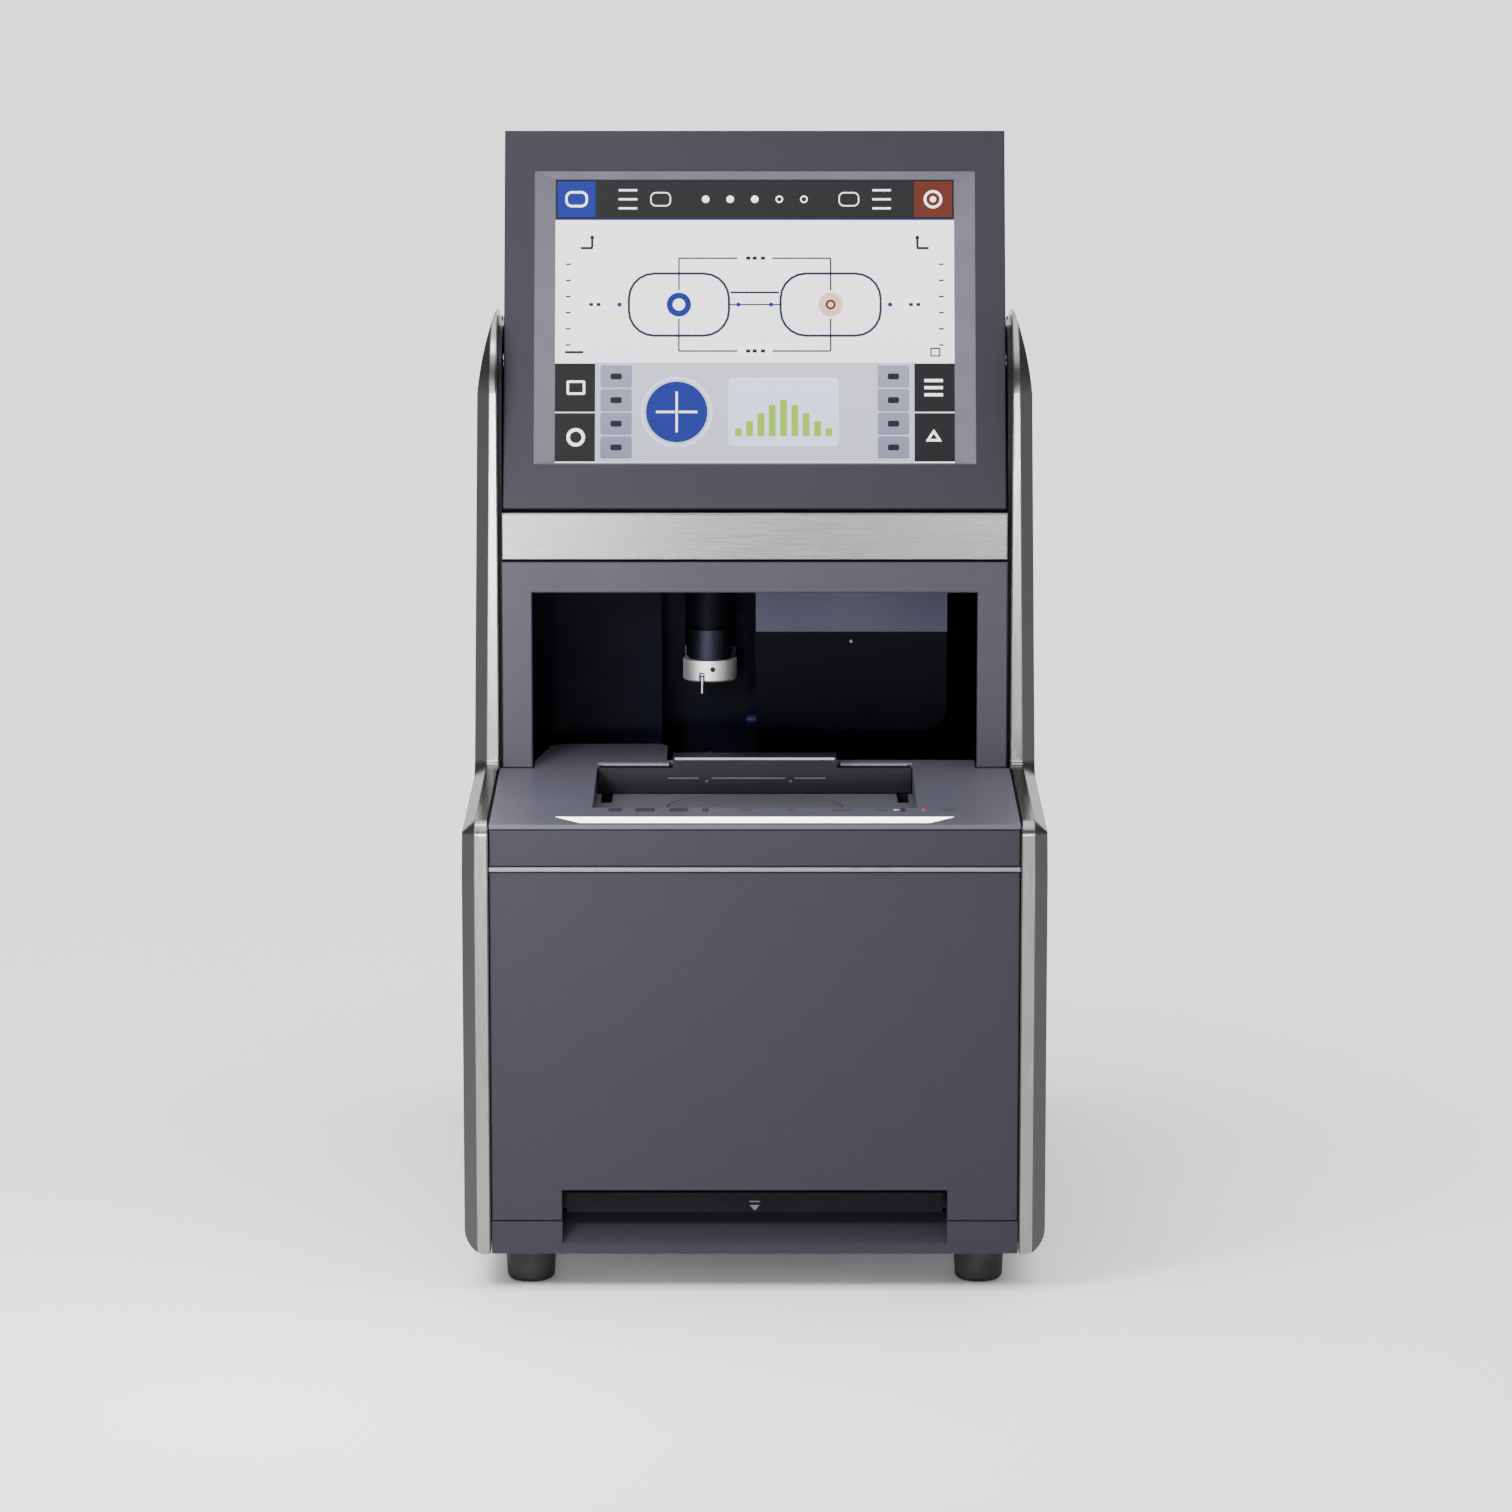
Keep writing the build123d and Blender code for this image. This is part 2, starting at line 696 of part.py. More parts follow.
def back_cover():
    """Flat back with vents, fan opening and cut-outs for the rear row."""
    top = EAR_Z - EAR_FALL - REAR_R - GAP
    y0 = BACK - SKIN_IN - SKIN
    panel = skin(block(-INNER, INNER, y0 - OVERRUN, BACK, BASE_TOP + GAP, top))
    panel = panel & block(-INNER, INNER, y0, BACK, BASE_TOP + GAP, top)
    z = BASE_Z + REAR_ROW_Z
    for x, wide, tall in rear_row():
        panel -= block(x - wide / 2, x + wide / 2, y0 - OVERRUN, BACK, z - tall / 2, z + tall / 2)
    for row in range(VENT_ROWS):
        z0 = BASE_Z + VENT_UP + row * VENT_PITCH
        panel -= block(-VENT_HALF, VENT_HALF, y0 - OVERRUN, BACK, z0, z0 + VENT_H)
    for row in fan_slots():
        panel -= row
    for x, z in rear_screw_places():
        panel -= rod_y(SCREW_R + SLIDE_FIT, x, z, y0 - OVERRUN, BACK)
    return panel


def rear_row():
    """Openings for the inlet, the switch and the ports: place, width and height."""
    return [
        (-INLET_X, INLET_W, INLET_H),
        (-SWITCH_X, SWITCH_W, SWITCH_H),
        (PORTS_X, PORTS_W, PORTS_H),
    ]


def fan_slots():
    """Slots of the fan grille, shorter towards the edge of the ring."""
    slots = []
    z = BASE_Z + FAN_UP
    y0 = BACK - SKIN_IN - SKIN - OVERRUN
    count = int(FAN_R / VENT_PITCH * 2)
    for i in range(count):
        up = (i - (count - 1) / 2) * VENT_PITCH
        wide = (FAN_R**2 - up**2) ** (1 / 2)
        slots.append(block(-wide, wide, y0, BACK, z + up - VENT_H / 2, z + up + VENT_H / 2))
    return slots


def case_screw(x, z):
    """Screw in the back cover."""
    y = BACK - SKIN_IN
    return rod_y(SCREW_R, x, z, y - SKIN, y) + rod_y(SCREW_HEAD_R, x, z, y, y + SCREW_HEAD_H)


def drawer_front():
    """Large front panel with a recess for the fingers at its foot."""
    y1 = SKIN_Y + DOOR_T
    panel = block(-PANEL_HALF, PANEL_HALF, SKIN_Y, y1, DOOR_Z, DOOR_TOP)
    top = DOOR_Z + NOTCH_H
    panel = soft_front(panel - block(-NOTCH_HALF, NOTCH_HALF, SKIN_Y - OVERRUN, y1 + OVERRUN, BASE_Z, top))
    y2 = y1 + POCKET_DEEP
    x = NOTCH_HALF + SHEET
    pocket = block(-x, x, y1, y2, DOOR_Z + SHEET, top + SHEET)
    pocket -= block(-NOTCH_HALF, NOTCH_HALF, y1 - OVERRUN, y2 - SHEET, DOOR_Z, top)
    for x in (-PIN_X, PIN_X):
        pocket -= rod_y(PIN_R + SLIDE_FIT, x, button_z(), y2 - OVERRUN, y2 + OVERRUN)
    return panel + pocket


def button_z():
    """Middle height of the release bar."""
    return DOOR_Z + SHEET + BUTTON_H / 2 + SIDE_GAP


def release_bar():
    """Bar in the recess that frees the drawer when it is pressed, on two guide pins."""
    y0 = SKIN_Y + BUTTON_IN
    x = NOTCH_HALF - SHEET
    z = button_z()
    bar = block(-x, x, y0, y0 + BUTTON_T, z - BUTTON_H / 2, z + BUTTON_H / 2)
    for x in (-PIN_X, PIN_X):
        bar += rod_y(PIN_R, x, z, y0 + BUTTON_T, y0 + BUTTON_T + PIN_LONG)
    return bar


def drawer_box():
    """Tray behind the drawer front."""
    y0 = SKIN_Y + DOOR_T
    z0 = DOOR_Z + BOX_LIFT
    box = block(-BOX_HALF, BOX_HALF, y0, y0 + BOX_LONG, z0, z0 + BOX_H)
    hole = BOX_HALF - SHEET
    return box - block(-hole, hole, y0 + SHEET, y0 + BOX_LONG - SHEET, z0 + SHEET, z0 + BOX_H + OVERRUN)


def runner_z():
    """Middle height of the drawer's slides."""
    return DOOR_Z + BOX_LIFT + BOX_H / 2


def drawer_runner():
    """Inner member of a slide, fixed to the box."""
    y0 = SKIN_Y + DOOR_T + BUTTON_T
    z = runner_z()
    return block(BOX_HALF, BOX_HALF + RUNNER_T, y0, y0 + BOX_LONG, z - RUNNER_H / 2, z + RUNNER_H / 2)


def slide_channel():
    """Outer member of a slide: a channel on the chassis plate."""
    y0 = SKIN_Y + SILL_DEEP
    z = runner_z()
    low = z - RUNNER_H / 2 - CHANNEL_WEB
    high = z + RUNNER_H / 2 + CHANNEL_WEB
    y1 = SKIN_Y + DOOR_T + BUTTON_T + BOX_LONG
    channel = block(BOX_HALF + RUNNER_T / 2, CHASSIS_HALF, y0, y1, low, high)
    tall = RUNNER_H / 2 + GAP
    groove = block(BOX_HALF, BOX_HALF + RUNNER_T + GAP, y0, y1, z - tall, z + tall)
    return channel - groove


def tracer_shelf():
    """Steel shelf over the drawer, bent down where it meets the chassis plates."""
    y0 = CHASSIS_FRONT + SILL_DEEP
    y1 = BAY_END
    z0 = SHELF_TOP - SHEET
    shelf = block(-CHASSIS_HALF, CHASSIS_HALF, y0, y1, z0, SHELF_TOP)
    flange = block(CHASSIS_HALF - SHEET, CHASSIS_HALF, y0, y1, z0 - SHELF_R, z0)
    return shelf + flange + mirrored(flange)


def tracer_frame():
    """Frame on the shelf: plate, four posts under the stage and the seat of the bearing."""
    y0 = MOUTH_Y0 - COVER_T
    y1 = DECK_END
    frame = block(-TRACER_HALF, TRACER_HALF, y0, y1, SHELF_TOP, FRAME_TOP)
    for x in (-POST_X, POST_X):
        for y in (y0 + POST_R, y1 - POST_R):
            frame += rod_z(POST_R, x, y, FRAME_TOP, STAGE_Z)
    seat_top = FRAME_TOP + BEARING_H + BOSS_WALL
    frame += rod_z(BEARING_R + BOSS_WALL, 0, TURN_Y, FRAME_TOP, seat_top)
    return frame - rod_z(BEARING_R, 0, TURN_Y, FRAME_TOP + BOSS_WALL, seat_top + OVERRUN)


def turn_bearing():
    """Bearing of the turntable."""
    z0 = FRAME_TOP + BOSS_WALL
    ring = rod_z(BEARING_R, 0, TURN_Y, z0, z0 + BEARING_H)
    return ring - rod_z(HUB_R + TURN_FIT, 0, TURN_Y, z0 - OVERRUN, z0 + BEARING_H + OVERRUN)


def plate_z():
    """Height of the turntable's lower plate."""
    return FRAME_TOP + PLATE_UP


def turntable():
    """Rotating carrier: hub, pulley, lower plate, end blocks of the rods and posts for the disc."""
    z = plate_z()
    body = rod_z(HUB_R, 0, TURN_Y, FRAME_TOP + BOSS_WALL, z)
    body += rod_z(PULLEY_R, 0, TURN_Y, pulley_z(), pulley_z() + PULLEY_H)
    body += rod_z(PLATE_R, 0, TURN_Y, z, z + PLATE_T)
    for y in end_block_places():
        body += block(-CARRIAGE_HALF, CARRIAGE_HALF, y, y + END_T, z + PLATE_T, rod_height() + END_T)
    for sign in (-1, 1):
        for turn in (DISC_POST_DEG, -DISC_POST_DEG):
            x = sign * DISC_POST_AT * cos(radians(turn))
            y = TURN_Y + DISC_POST_AT * sin(radians(turn))
            body += rod_z(DISC_POST_R, x, y, z + PLATE_T, STAGE_TOP - DISC_T)
    return body


def end_block_places():
    """Front faces of the two end blocks that hold the stylus rods."""
    return [TURN_Y - PLATE_R, TURN_Y + CARRIAGE_D]


def rod_height():
    """Height of the stylus rods."""
    return STAGE_TOP - DISC_T - CARRIAGE_H - STYLUS_R + CARRIAGE_H / 3


def tracer_disc():
    """Round plate flush with the stage, with the radial slot of the stylus."""
    disc = rod_z(DISC_R, 0, TURN_Y, STAGE_TOP - DISC_T, STAGE_TOP)
    slot = block(-SLOT_W / 2, SLOT_W / 2, TURN_Y - SLOT_OUT, TURN_Y - SLOT_IN, STAGE_Z, STAGE_TOP + OVERRUN)
    return disc - slot


def stylus_rods():
    """Two rods that carry the stylus carriage."""
    y0, y1 = end_block_places()
    z = rod_height()
    return [rod_y(ROD_R, x, z, y0 + END_T, y1) for x in (-ROD_X, ROD_X)]


def stylus_y():
    """Depth of the stylus at rest."""
    return TURN_Y - STYLUS_AT


def stylus_carriage():
    """Carriage that runs along the rods and guides the stylus."""
    y = stylus_y()
    z = rod_height()
    size = ((CARRIAGE_HALF - ROD_R) * 2, CARRIAGE_D, CARRIAGE_H)
    body = Pos(0, y, z) * Box(*size)
    body -= rod_z(STYLUS_R + SLIDE_FIT, 0, y, z - CARRIAGE_H, z + CARRIAGE_H)
    for x in (-ROD_X, ROD_X):
        body -= rod_y(ROD_R + SLIDE_FIT, x, z, y - CARRIAGE_D, y + CARRIAGE_D)
    return body


def stylus():
    """Measuring stylus, parked below the disc."""
    y = stylus_y()
    top = STAGE_TOP - DISC_T - TIP_BALL_R
    shoulder = rod_height() + CARRIAGE_H / 2 + END_T / 4
    foot = rod_height() - CARRIAGE_H
    pin = rod_z(STYLUS_R, 0, y, foot, shoulder) + rod_z(TIP_R, 0, y, shoulder, top - TIP_BALL_R)
    return pin + Pos(0, y, top - TIP_BALL_R) * Sphere(TIP_BALL_R)


def stage():
    """Light plate at the bottom of the mouth, with the bosses of the jaw rods under it."""
    y0 = MOUTH_Y0 - COVER_T
    y1 = DECK_END
    plate = block(-STAGE_HALF, STAGE_HALF, y0, y1, STAGE_Z, STAGE_TOP)
    plate -= rod_z(DISC_R + SIDE_GAP, 0, TURN_Y, STAGE_Z - OVERRUN, STAGE_TOP + OVERRUN)
    low = jaw_rod_z() - JAW_ROD_R - SHEET
    for x in (-JAW_X, JAW_X):
        for y in (y0, y1 - BOSS_WALL):
            plate += block(x - LEG_W / 2, x + LEG_W / 2, y, y + BOSS_WALL, low, STAGE_Z)
        for y in (front_leg_y(), rear_leg_y() - JAW_TRAVEL):
            slot = LEG_W / 2 - SHEET + SIDE_GAP
            end = y + LEG_D + JAW_TRAVEL + SIDE_GAP
            plate -= block(x - slot, x + slot, y - SIDE_GAP, end, STAGE_Z - OVERRUN, STAGE_TOP + OVERRUN)
    return plate


def jaw_rod_z():
    """Height of the rods that carry the jaws."""
    return STAGE_Z - JAW_DROP


def front_leg_y():
    """Front face of the front jaw's legs."""
    return MOUTH_Y0 + SIDE_GAP


def rear_leg_y():
    """Front face of the rear jaw's legs."""
    return UPPER_Y + SHEET


def jaw_rods():
    """Rods under the stage that the jaws run on."""
    y0 = MOUTH_Y0 - COVER_T + BOSS_WALL
    y1 = DECK_END - BOSS_WALL
    return [rod_y(JAW_ROD_R, x, jaw_rod_z(), y0, y1) for x in (-JAW_X, JAW_X)]


def jaw_legs(y0):
    """Legs of a jaw, with the bores for the rods."""
    z = jaw_rod_z()
    legs = []
    for x in (-JAW_X, JAW_X):
        wide = LEG_W / 2
        neck = wide - SHEET
        sleeve = block(x - wide, x + wide, y0, y0 + LEG_D, z - JAW_ROD_R - SHEET, STAGE_Z - SIDE_GAP)
        sleeve += block(x - neck, x + neck, y0, y0 + LEG_D, STAGE_Z - SIDE_GAP, STAGE_TOP + SIDE_GAP)
        legs.append(sleeve - rod_y(JAW_ROD_R + SLIDE_FIT, x, z, y0 - OVERRUN, y0 + LEG_D + OVERRUN))
    return legs


def rear_jaw():
    """Dark jaw at the back of the mouth with a raised middle."""
    y0 = UPPER_Y
    z0 = STAGE_TOP + SIDE_GAP
    half = MOUTH_HALF - SIDE_GAP
    jaw = block(-half, half, y0, y0 + JAW_T, z0, z0 + REAR_JAW_H)
    jaw += block(-HOOD_HALF, HOOD_HALF, y0, y0 + HOOD_D - GAP, z0, z0 + HOOD_H)
    legs = jaw_legs(rear_leg_y())
    return jaw + legs[0] + legs[1]


def front_jaw():
    """Low jaw behind the front lip of the mouth."""
    y0 = front_leg_y()
    z0 = STAGE_TOP + SIDE_GAP
    half = MOUTH_HALF - SIDE_GAP
    jaw = block(-half, half, y0, y0 + FRONT_JAW_T, z0, z0 + FRONT_JAW_H)
    legs = jaw_legs(y0)
    return jaw + legs[0] + legs[1]


def belt(near, far, near_r, far_r, z0, z1):
    """Flat belt round two wheels, given by the belt's outer radii."""
    outer = make_hull([e for p, r in ((near, near_r), (far, far_r)) for e in (Pos(*p) * Circle(r)).edges()])
    inner = make_hull(
        [e for p, r in ((near, near_r), (far, far_r)) for e in (Pos(*p) * Circle(r - BELT_T)).edges()]
    )
    return Pos(0, 0, z0) * extrude(outer - inner, amount=z1 - z0)


def pulley_z():
    """Lower face of the turntable's pulley."""
    return plate_z() - PULLEY_H - SIDE_GAP


def turn_belt():
    """Belt from the motor to the turntable."""
    z = pulley_z()
    wide = BELT_T + GAP
    return belt(
        (0, TURN_Y), (MOTOR_X, TURN_Y), PULLEY_R + wide, MOTOR_PULLEY_R + wide, z + GAP, z + PULLEY_H - GAP
    )


def tracer_motor():
    """Motor of the turntable."""
    x0 = MOTOR_X - MOTOR_HALF
    x1 = MOTOR_X + MOTOR_HALF
    can = block(x0, x1, TURN_Y - MOTOR_HALF, TURN_Y + MOTOR_HALF, FRAME_TOP, FRAME_TOP + MOTOR_H)
    return fillet(can.edges().filter_by(Axis.Z), CASE_WALL)


def motor_pulley():
    """Small pulley with the motor's shaft."""
    z = pulley_z()
    wheel = rod_z(MOTOR_PULLEY_R, MOTOR_X, TURN_Y, z, z + PULLEY_H)
    return wheel + rod_z(AXLE_R, MOTOR_X, TURN_Y, FRAME_TOP + MOTOR_H + GAP, z)


def liner():
    """Dark lining of the blocking bay, open to the front, with tabs to the chassis."""
    inner = LINER_HALF - LINER_WALL
    y0 = UPPER_Y + CHASSIS_IN - GAP
    y1 = BAY_END
    shell = block(-LINER_HALF, LINER_HALF, y0, y1, PIT_Z, CEILING + LINER_WALL)
    shell -= block(-inner, inner, y0 - OVERRUN, y1 - LINER_WALL, PIT_Z + LINER_WALL, CEILING)
    pit_y = DECK_END + COVER_RIM - LINER_WALL
    shell -= block(-HALF, HALF, y0 - OVERRUN, pit_y, PIT_Z - OVERRUN, STEP_Z + SKIN_IN)
    shell += block(-inner, inner, pit_y, pit_y + LINER_WALL, PIT_Z, deck_z(pit_y) - DECK_T - GAP)
    for z in (PIT_Z + TAB_W, CEILING - TAB_W):
        for y in (BAY_Y, y1 - TAB_W):
            tab = block(LINER_HALF, CHASSIS_HALF, y, y + TAB_W, z, z + TAB_T)
            shell = shell + tab + mirrored(tab)
    shell -= rod_z(RING_BORE, -HEAD_X, BAY_Y, PIT_Z - OVERRUN, PIT_Z + LINER_WALL + OVERRUN)
    shell -= rod_z(SCREW_ROD_R + SIDE_GAP, -HEAD_X, column_y(), CEILING - OVERRUN, CEILING + OVERRUN)
    return shell


def floor_window():
    """Clear window in the floor under the lens."""
    return rod_z(RING_BORE - TURN_FIT, -HEAD_X, BAY_Y, PIT_Z, PIT_Z + LINER_WALL)


def lens_ring():
    """Ring that carries the three lens pins."""
    z = PIT_Z + LINER_WALL
    ring = rod_z(RING_R, -HEAD_X, BAY_Y, z, z + RING_H)
    return ring - rod_z(RING_BORE, -HEAD_X, BAY_Y, z - OVERRUN, z + RING_H + OVERRUN)


def lens_pins():
    """Three rubber-tipped pins that the lens rests on."""
    z = PIT_Z + LINER_WALL + RING_H
    pins = []
    tip = z + REST_H - REST_R
    for turn in REST_TURNS:
        x = -HEAD_X + REST_AT * cos(radians(turn))
        y = BAY_Y + REST_AT * sin(radians(turn))
        pins.append(rod_z(REST_R, x, y, z, tip) + Pos(x, y, tip) * Sphere(REST_R))
    return pins


def lens_camera():
    """Camera under the floor window, on a bracket from the shelf."""
    z1 = PIT_Z
    tube = rod_z(CAMERA_R, -HEAD_X, BAY_Y, z1 - CAMERA_H, z1)
    foot = Pos(-HEAD_X, BAY_Y, SHELF_TOP + TAB_T / 2) * Box(CAMERA_R * 2, TAB_W * 2, TAB_T)
    x0 = -HEAD_X - TAB_T
    x1 = -HEAD_X + TAB_T
    post = block(x0, x1, BAY_Y - TAB_T, BAY_Y + TAB_T, SHELF_TOP, z1 - CAMERA_H)
    return tube + foot + post


def drive_cover():
    """Flat-fronted cover of the drive at the left of the bay."""
    z0 = PIT_Z + LINER_WALL
    y1 = BAY_END - LINER_WALL
    outer = LINER_HALF - LINER_WALL
    cover = block(-outer, -DRIVE_X1, BAY_Y, y1, z0, CEILING)
    x0 = -outer + CASE_WALL
    x1 = -DRIVE_X1 - CASE_WALL
    return cover - block(x0, x1, BAY_Y + CASE_WALL, y1 + OVERRUN, z0 - OVERRUN, CEILING + OVERRUN)


def column_cover():
    """Plate before the guide rods, with the slot that the arm runs in."""
    y0 = BAY_Y + COLUMN_COVER_BACK
    y1 = y0 + LINER_WALL
    plate = block(-DRIVE_X1, OPTICS_X0, y0, y1, PIT_Z + LINER_WALL, CEILING)
    half = ARM_HALF + SIDE_GAP
    low = CEILING - SLIDER_DROP - ARM_H - HEAD_TRAVEL - SIDE_GAP
    return plate - block(-HEAD_X - half, -HEAD_X + half, y0 - OVERRUN, y1 + OVERRUN, low, CEILING + OVERRUN)


def optics_z():
    """Lower face of the optics housing."""
    return CEILING - OPTICS_LOW


def low_right_edge(shape):
    """Lower right edge of a block, seen from the front."""
    return shape.edges().filter_by(Axis.Y).sort_by(lambda e: e.center().Z - e.center().X)[0]


def optics_housing():
    """Housing of the measuring optics at the right of the bay, round at its lower right edge."""
    y1 = BAY_END - LINER_WALL
    case = block(OPTICS_X0, OPTICS_X1, BAY_Y, y1, optics_z(), CEILING)
    case = fillet(low_right_edge(case), OPTICS_R)
    inner = block(
        OPTICS_X0 + CASE_WALL,
        OPTICS_X1 - CASE_WALL,
        BAY_Y + CASE_WALL,
        y1 + OVERRUN,
        optics_z() + OPTICS_R,
        CEILING - CASE_WALL,
    )
    return case - inner


def optics_front():
    """Smoked front of the optics housing."""
    y0 = BAY_Y - WINDOW_T
    top = CEILING - OPTICS_BAND_H
    panel = block(OPTICS_X0, OPTICS_X1, y0, BAY_Y, optics_z(), top)
    panel = fillet(low_right_edge(panel), OPTICS_R)
    hole = rod_y(STATUS_R + SLIDE_FIT, STATUS_X, CEILING - STATUS_DROP, y0 - OVERRUN, BAY_Y + OVERRUN)
    return panel - hole


def optics_band():
    """Lighter band above the smoked front."""
    return block(OPTICS_X0, OPTICS_X1, BAY_Y - BAND_T, BAY_Y, CEILING - OPTICS_BAND_H, CEILING)


def guide_lamp():
    """Lamp with a blue dome on the side of the optics housing, beside the head."""
    y = BAY_Y + LAMP_BACK
    z = optics_z() + LAMP_R + GAP
    lamp = rod_x(LAMP_R, y, z, OPTICS_X0 - LAMP_OUT, OPTICS_X0)
    return fillet(lamp.edges().sort_by(Axis.X)[0], LAMP_R - GAP)


def column_y():
    """Depth of the leadscrew."""
    return BAY_Y + COLUMN_BACK


def column_bracket():
    """Bracket that holds the guide rods and the leadscrew at both ends."""
    y0 = column_y() - SLIDER_D / 2
    y1 = column_y() + SLIDER_D / 2 + GAP
    z0 = PIT_Z + LINER_WALL
    x0 = -HEAD_X - SLIDER_HALF
    x1 = -HEAD_X + SLIDER_HALF
    bracket = block(x0, x1, y1, y1 + COLUMN_PLATE, z0, CEILING)
    for z in (z0, CEILING - FLANGE_T):
        bracket += block(x0, x1, y0, y1, z, z + FLANGE_T)
    bracket -= rod_z(SCREW_ROD_R + SLIDE_FIT, -HEAD_X, column_y(), z0 - OVERRUN, CEILING + OVERRUN)
    for x in guide_places():
        bracket -= rod_z(GUIDE_R, x, column_y(), z0 + FLANGE_T / 2, CEILING - FLANGE_T / 2)
    return bracket


def guide_places():
    """Places of the two guide rods across the bay."""
    return [-HEAD_X - GUIDE_AT, -HEAD_X + GUIDE_AT]


def guide_rods():
    """Upright rods that the head runs on."""
    z0 = PIT_Z + LINER_WALL + FLANGE_T / 2
    z1 = CEILING - FLANGE_T / 2
    return [rod_z(GUIDE_R, x, column_y(), z0, z1) for x in guide_places()]


def leadscrew():
    """Screw that raises and lowers the head."""
    z0 = PIT_Z + LINER_WALL + GAP
    return rod_z(SCREW_ROD_R, -HEAD_X, column_y(), z0, CEILING + LINER_WALL - GAP)


def head_motor():
    """Motor on top of the bay that turns the leadscrew."""
    z0 = CEILING + LINER_WALL
    y = column_y()
    x0 = -HEAD_X - HEAD_MOTOR_HALF
    x1 = -HEAD_X + HEAD_MOTOR_HALF
    can = block(x0, x1, y - HEAD_MOTOR_HALF, y + HEAD_MOTOR_HALF, z0, z0 + HEAD_MOTOR_H)
    return fillet(can.edges().filter_by(Axis.Z), CASE_WALL)


def head_carriage():
    """Slider on the rods with the arm and the stem that reach over the lens."""
    top = CEILING - SLIDER_DROP
    x0 = -HEAD_X - SLIDER_HALF
    x1 = -HEAD_X + SLIDER_HALF
    y0 = column_y() - SLIDER_D / 2
    y1 = column_y() + SLIDER_D / 2
    slider = block(x0, x1, y0, y1, top - SLIDER_H, top)
    for x in guide_places():
        slider -= rod_z(GUIDE_R + SLIDE_FIT, x, column_y(), top - SLIDER_H - OVERRUN, top + OVERRUN)
    slider -= rod_z(SCREW_ROD_R + NUT_FIT, -HEAD_X, column_y(), top - SLIDER_H - OVERRUN, top + OVERRUN)
    arm_z = top - ARM_H
    arm = block(-HEAD_X - ARM_HALF, -HEAD_X + ARM_HALF, BAY_Y, y0, arm_z, top)
    arm += rod_z(ARM_HALF, -HEAD_X, BAY_Y, arm_z, top)
    return slider + arm + rod_z(STEM_R, -HEAD_X, BAY_Y, arm_z - STEM_H, arm_z)


def housing_z():
    """Lower face of the head housing."""
    return CEILING - SLIDER_DROP - ARM_H - STEM_H - HOUSING_H


def head_housing():
    """Round housing under the stem, bored for the spindle of the chuck."""
    z0 = housing_z()
    can = rod_z(HOUSING_R, -HEAD_X, BAY_Y, z0, z0 + HOUSING_H)
    return can - rod_z(SPINDLE_R + TURN_FIT, -HEAD_X, BAY_Y, z0 - OVERRUN, z0 + SPINDLE_H + GAP)


def chuck_z():
    """Lower face of the chuck ring."""
    return housing_z() - GAP - CHUCK_H


def lever_x():
    """Place of the release lever across the bay."""
    return -HEAD_X - LEVER_X


def chuck_ring():
    """Turning ring that holds the block, with its spindle, seat and lever slot."""
    z0 = chuck_z()
    ring = rod_z(CHUCK_R, -HEAD_X, BAY_Y, z0, z0 + CHUCK_H)
    ring = chamfer(ring.edges().sort_by(Axis.Z)[0], LEVER_R)
    ring += rod_z(SPINDLE_R, -HEAD_X, BAY_Y, z0 + CHUCK_H, z0 + CHUCK_H + SPINDLE_H)
    ring -= rod_z(SEAT_R, -HEAD_X, BAY_Y, z0 - OVERRUN, z0 + SEAT_DEEP)
    x = lever_x()
    y = BAY_Y - LEVER_OUT
    half = LEVER_SLOT / 2
    slot = block(x - half, x + half, BAY_Y - CHUCK_R, y + LEVER_SLOT, z0 - OVERRUN, z0 + LEVER_UP + half)
    return ring - slot


def release_lever():
    """Thin bent lever under the chuck that frees the block."""
    x = lever_x()
    y = BAY_Y - LEVER_OUT
    z = chuck_z() + LEVER_UP
    head = rod_x(LEVER_HEAD_R, y, z, x - LEVER_SLOT / 2 + GAP, x + LEVER_SLOT / 2 - GAP)
    return head + rod_z(LEVER_R, x, y, chuck_z() - LEVER_LOW, z)


def monitor_place():
    """Place of the monitor: leaned back about its hinge pins."""
    return Pos(0, PIVOT_Y, PIVOT_Z) * Rot(-TILT, 0, 0)


def monitor_bezel():
    """Front frame of the monitor."""
    top = MON_TALL - MON_LOW
    frame = block(-MON_HALF, MON_HALF, -MON_FRONT, -MON_FRONT + PART_LINE, -MON_LOW, top)
    frame = soft_front(frame)
    low = FRAME_LOW - MON_LOW
    high = FRAME_HIGH - MON_LOW
    frame -= block(-SURROUND_HALF, SURROUND_HALF, -MON_FRONT - OVERRUN, MON_BACK, low, high)
    wall = MON_HALF - SHELL_T
    frame -= block(-wall, wall, -MON_FRONT + RECESS, MON_BACK, -MON_LOW + SHELL_T, top - SHELL_T)
    return monitor_place() * frame


def monitor_surround():
    """Sloping surround between the front frame and the screen."""
    y0 = -MON_FRONT + GAP
    y1 = -MON_FRONT + RECESS
    low = FRAME_LOW - MON_LOW
    high = FRAME_HIGH - MON_LOW
    in_low = SCREEN_LOW - MON_LOW
    in_high = SCREEN_HIGH - MON_LOW
    outer = rectangle_at(SURROUND_HALF, low, high, y0)
    inner = rectangle_at(SCREEN_HALF, in_low, in_high, y1)
    frame = block(-SURROUND_HALF, SURROUND_HALF, y0, y1, low, high)
    return monitor_place() * (frame - loft([outer, inner], ruled=True))


def rectangle_at(half, low, high, y):
    """Upright rectangle at a depth."""
    points = [(-half, y, low), (half, y, low), (half, y, high), (-half, y, high)]
    return make_face(Polyline(*points, close=True).edges())


def touch_glass():
    """Touch glass behind the surround."""
    y0 = -MON_FRONT + RECESS
    half = SCREEN_HALF + GLASS_LAP
    low = SCREEN_LOW - MON_LOW - GLASS_LAP / 2
    high = SCREEN_HIGH - MON_LOW + GLASS_LAP
    return monitor_place() * block(-half, half, y0, y0 + GLASS_T, low, high)


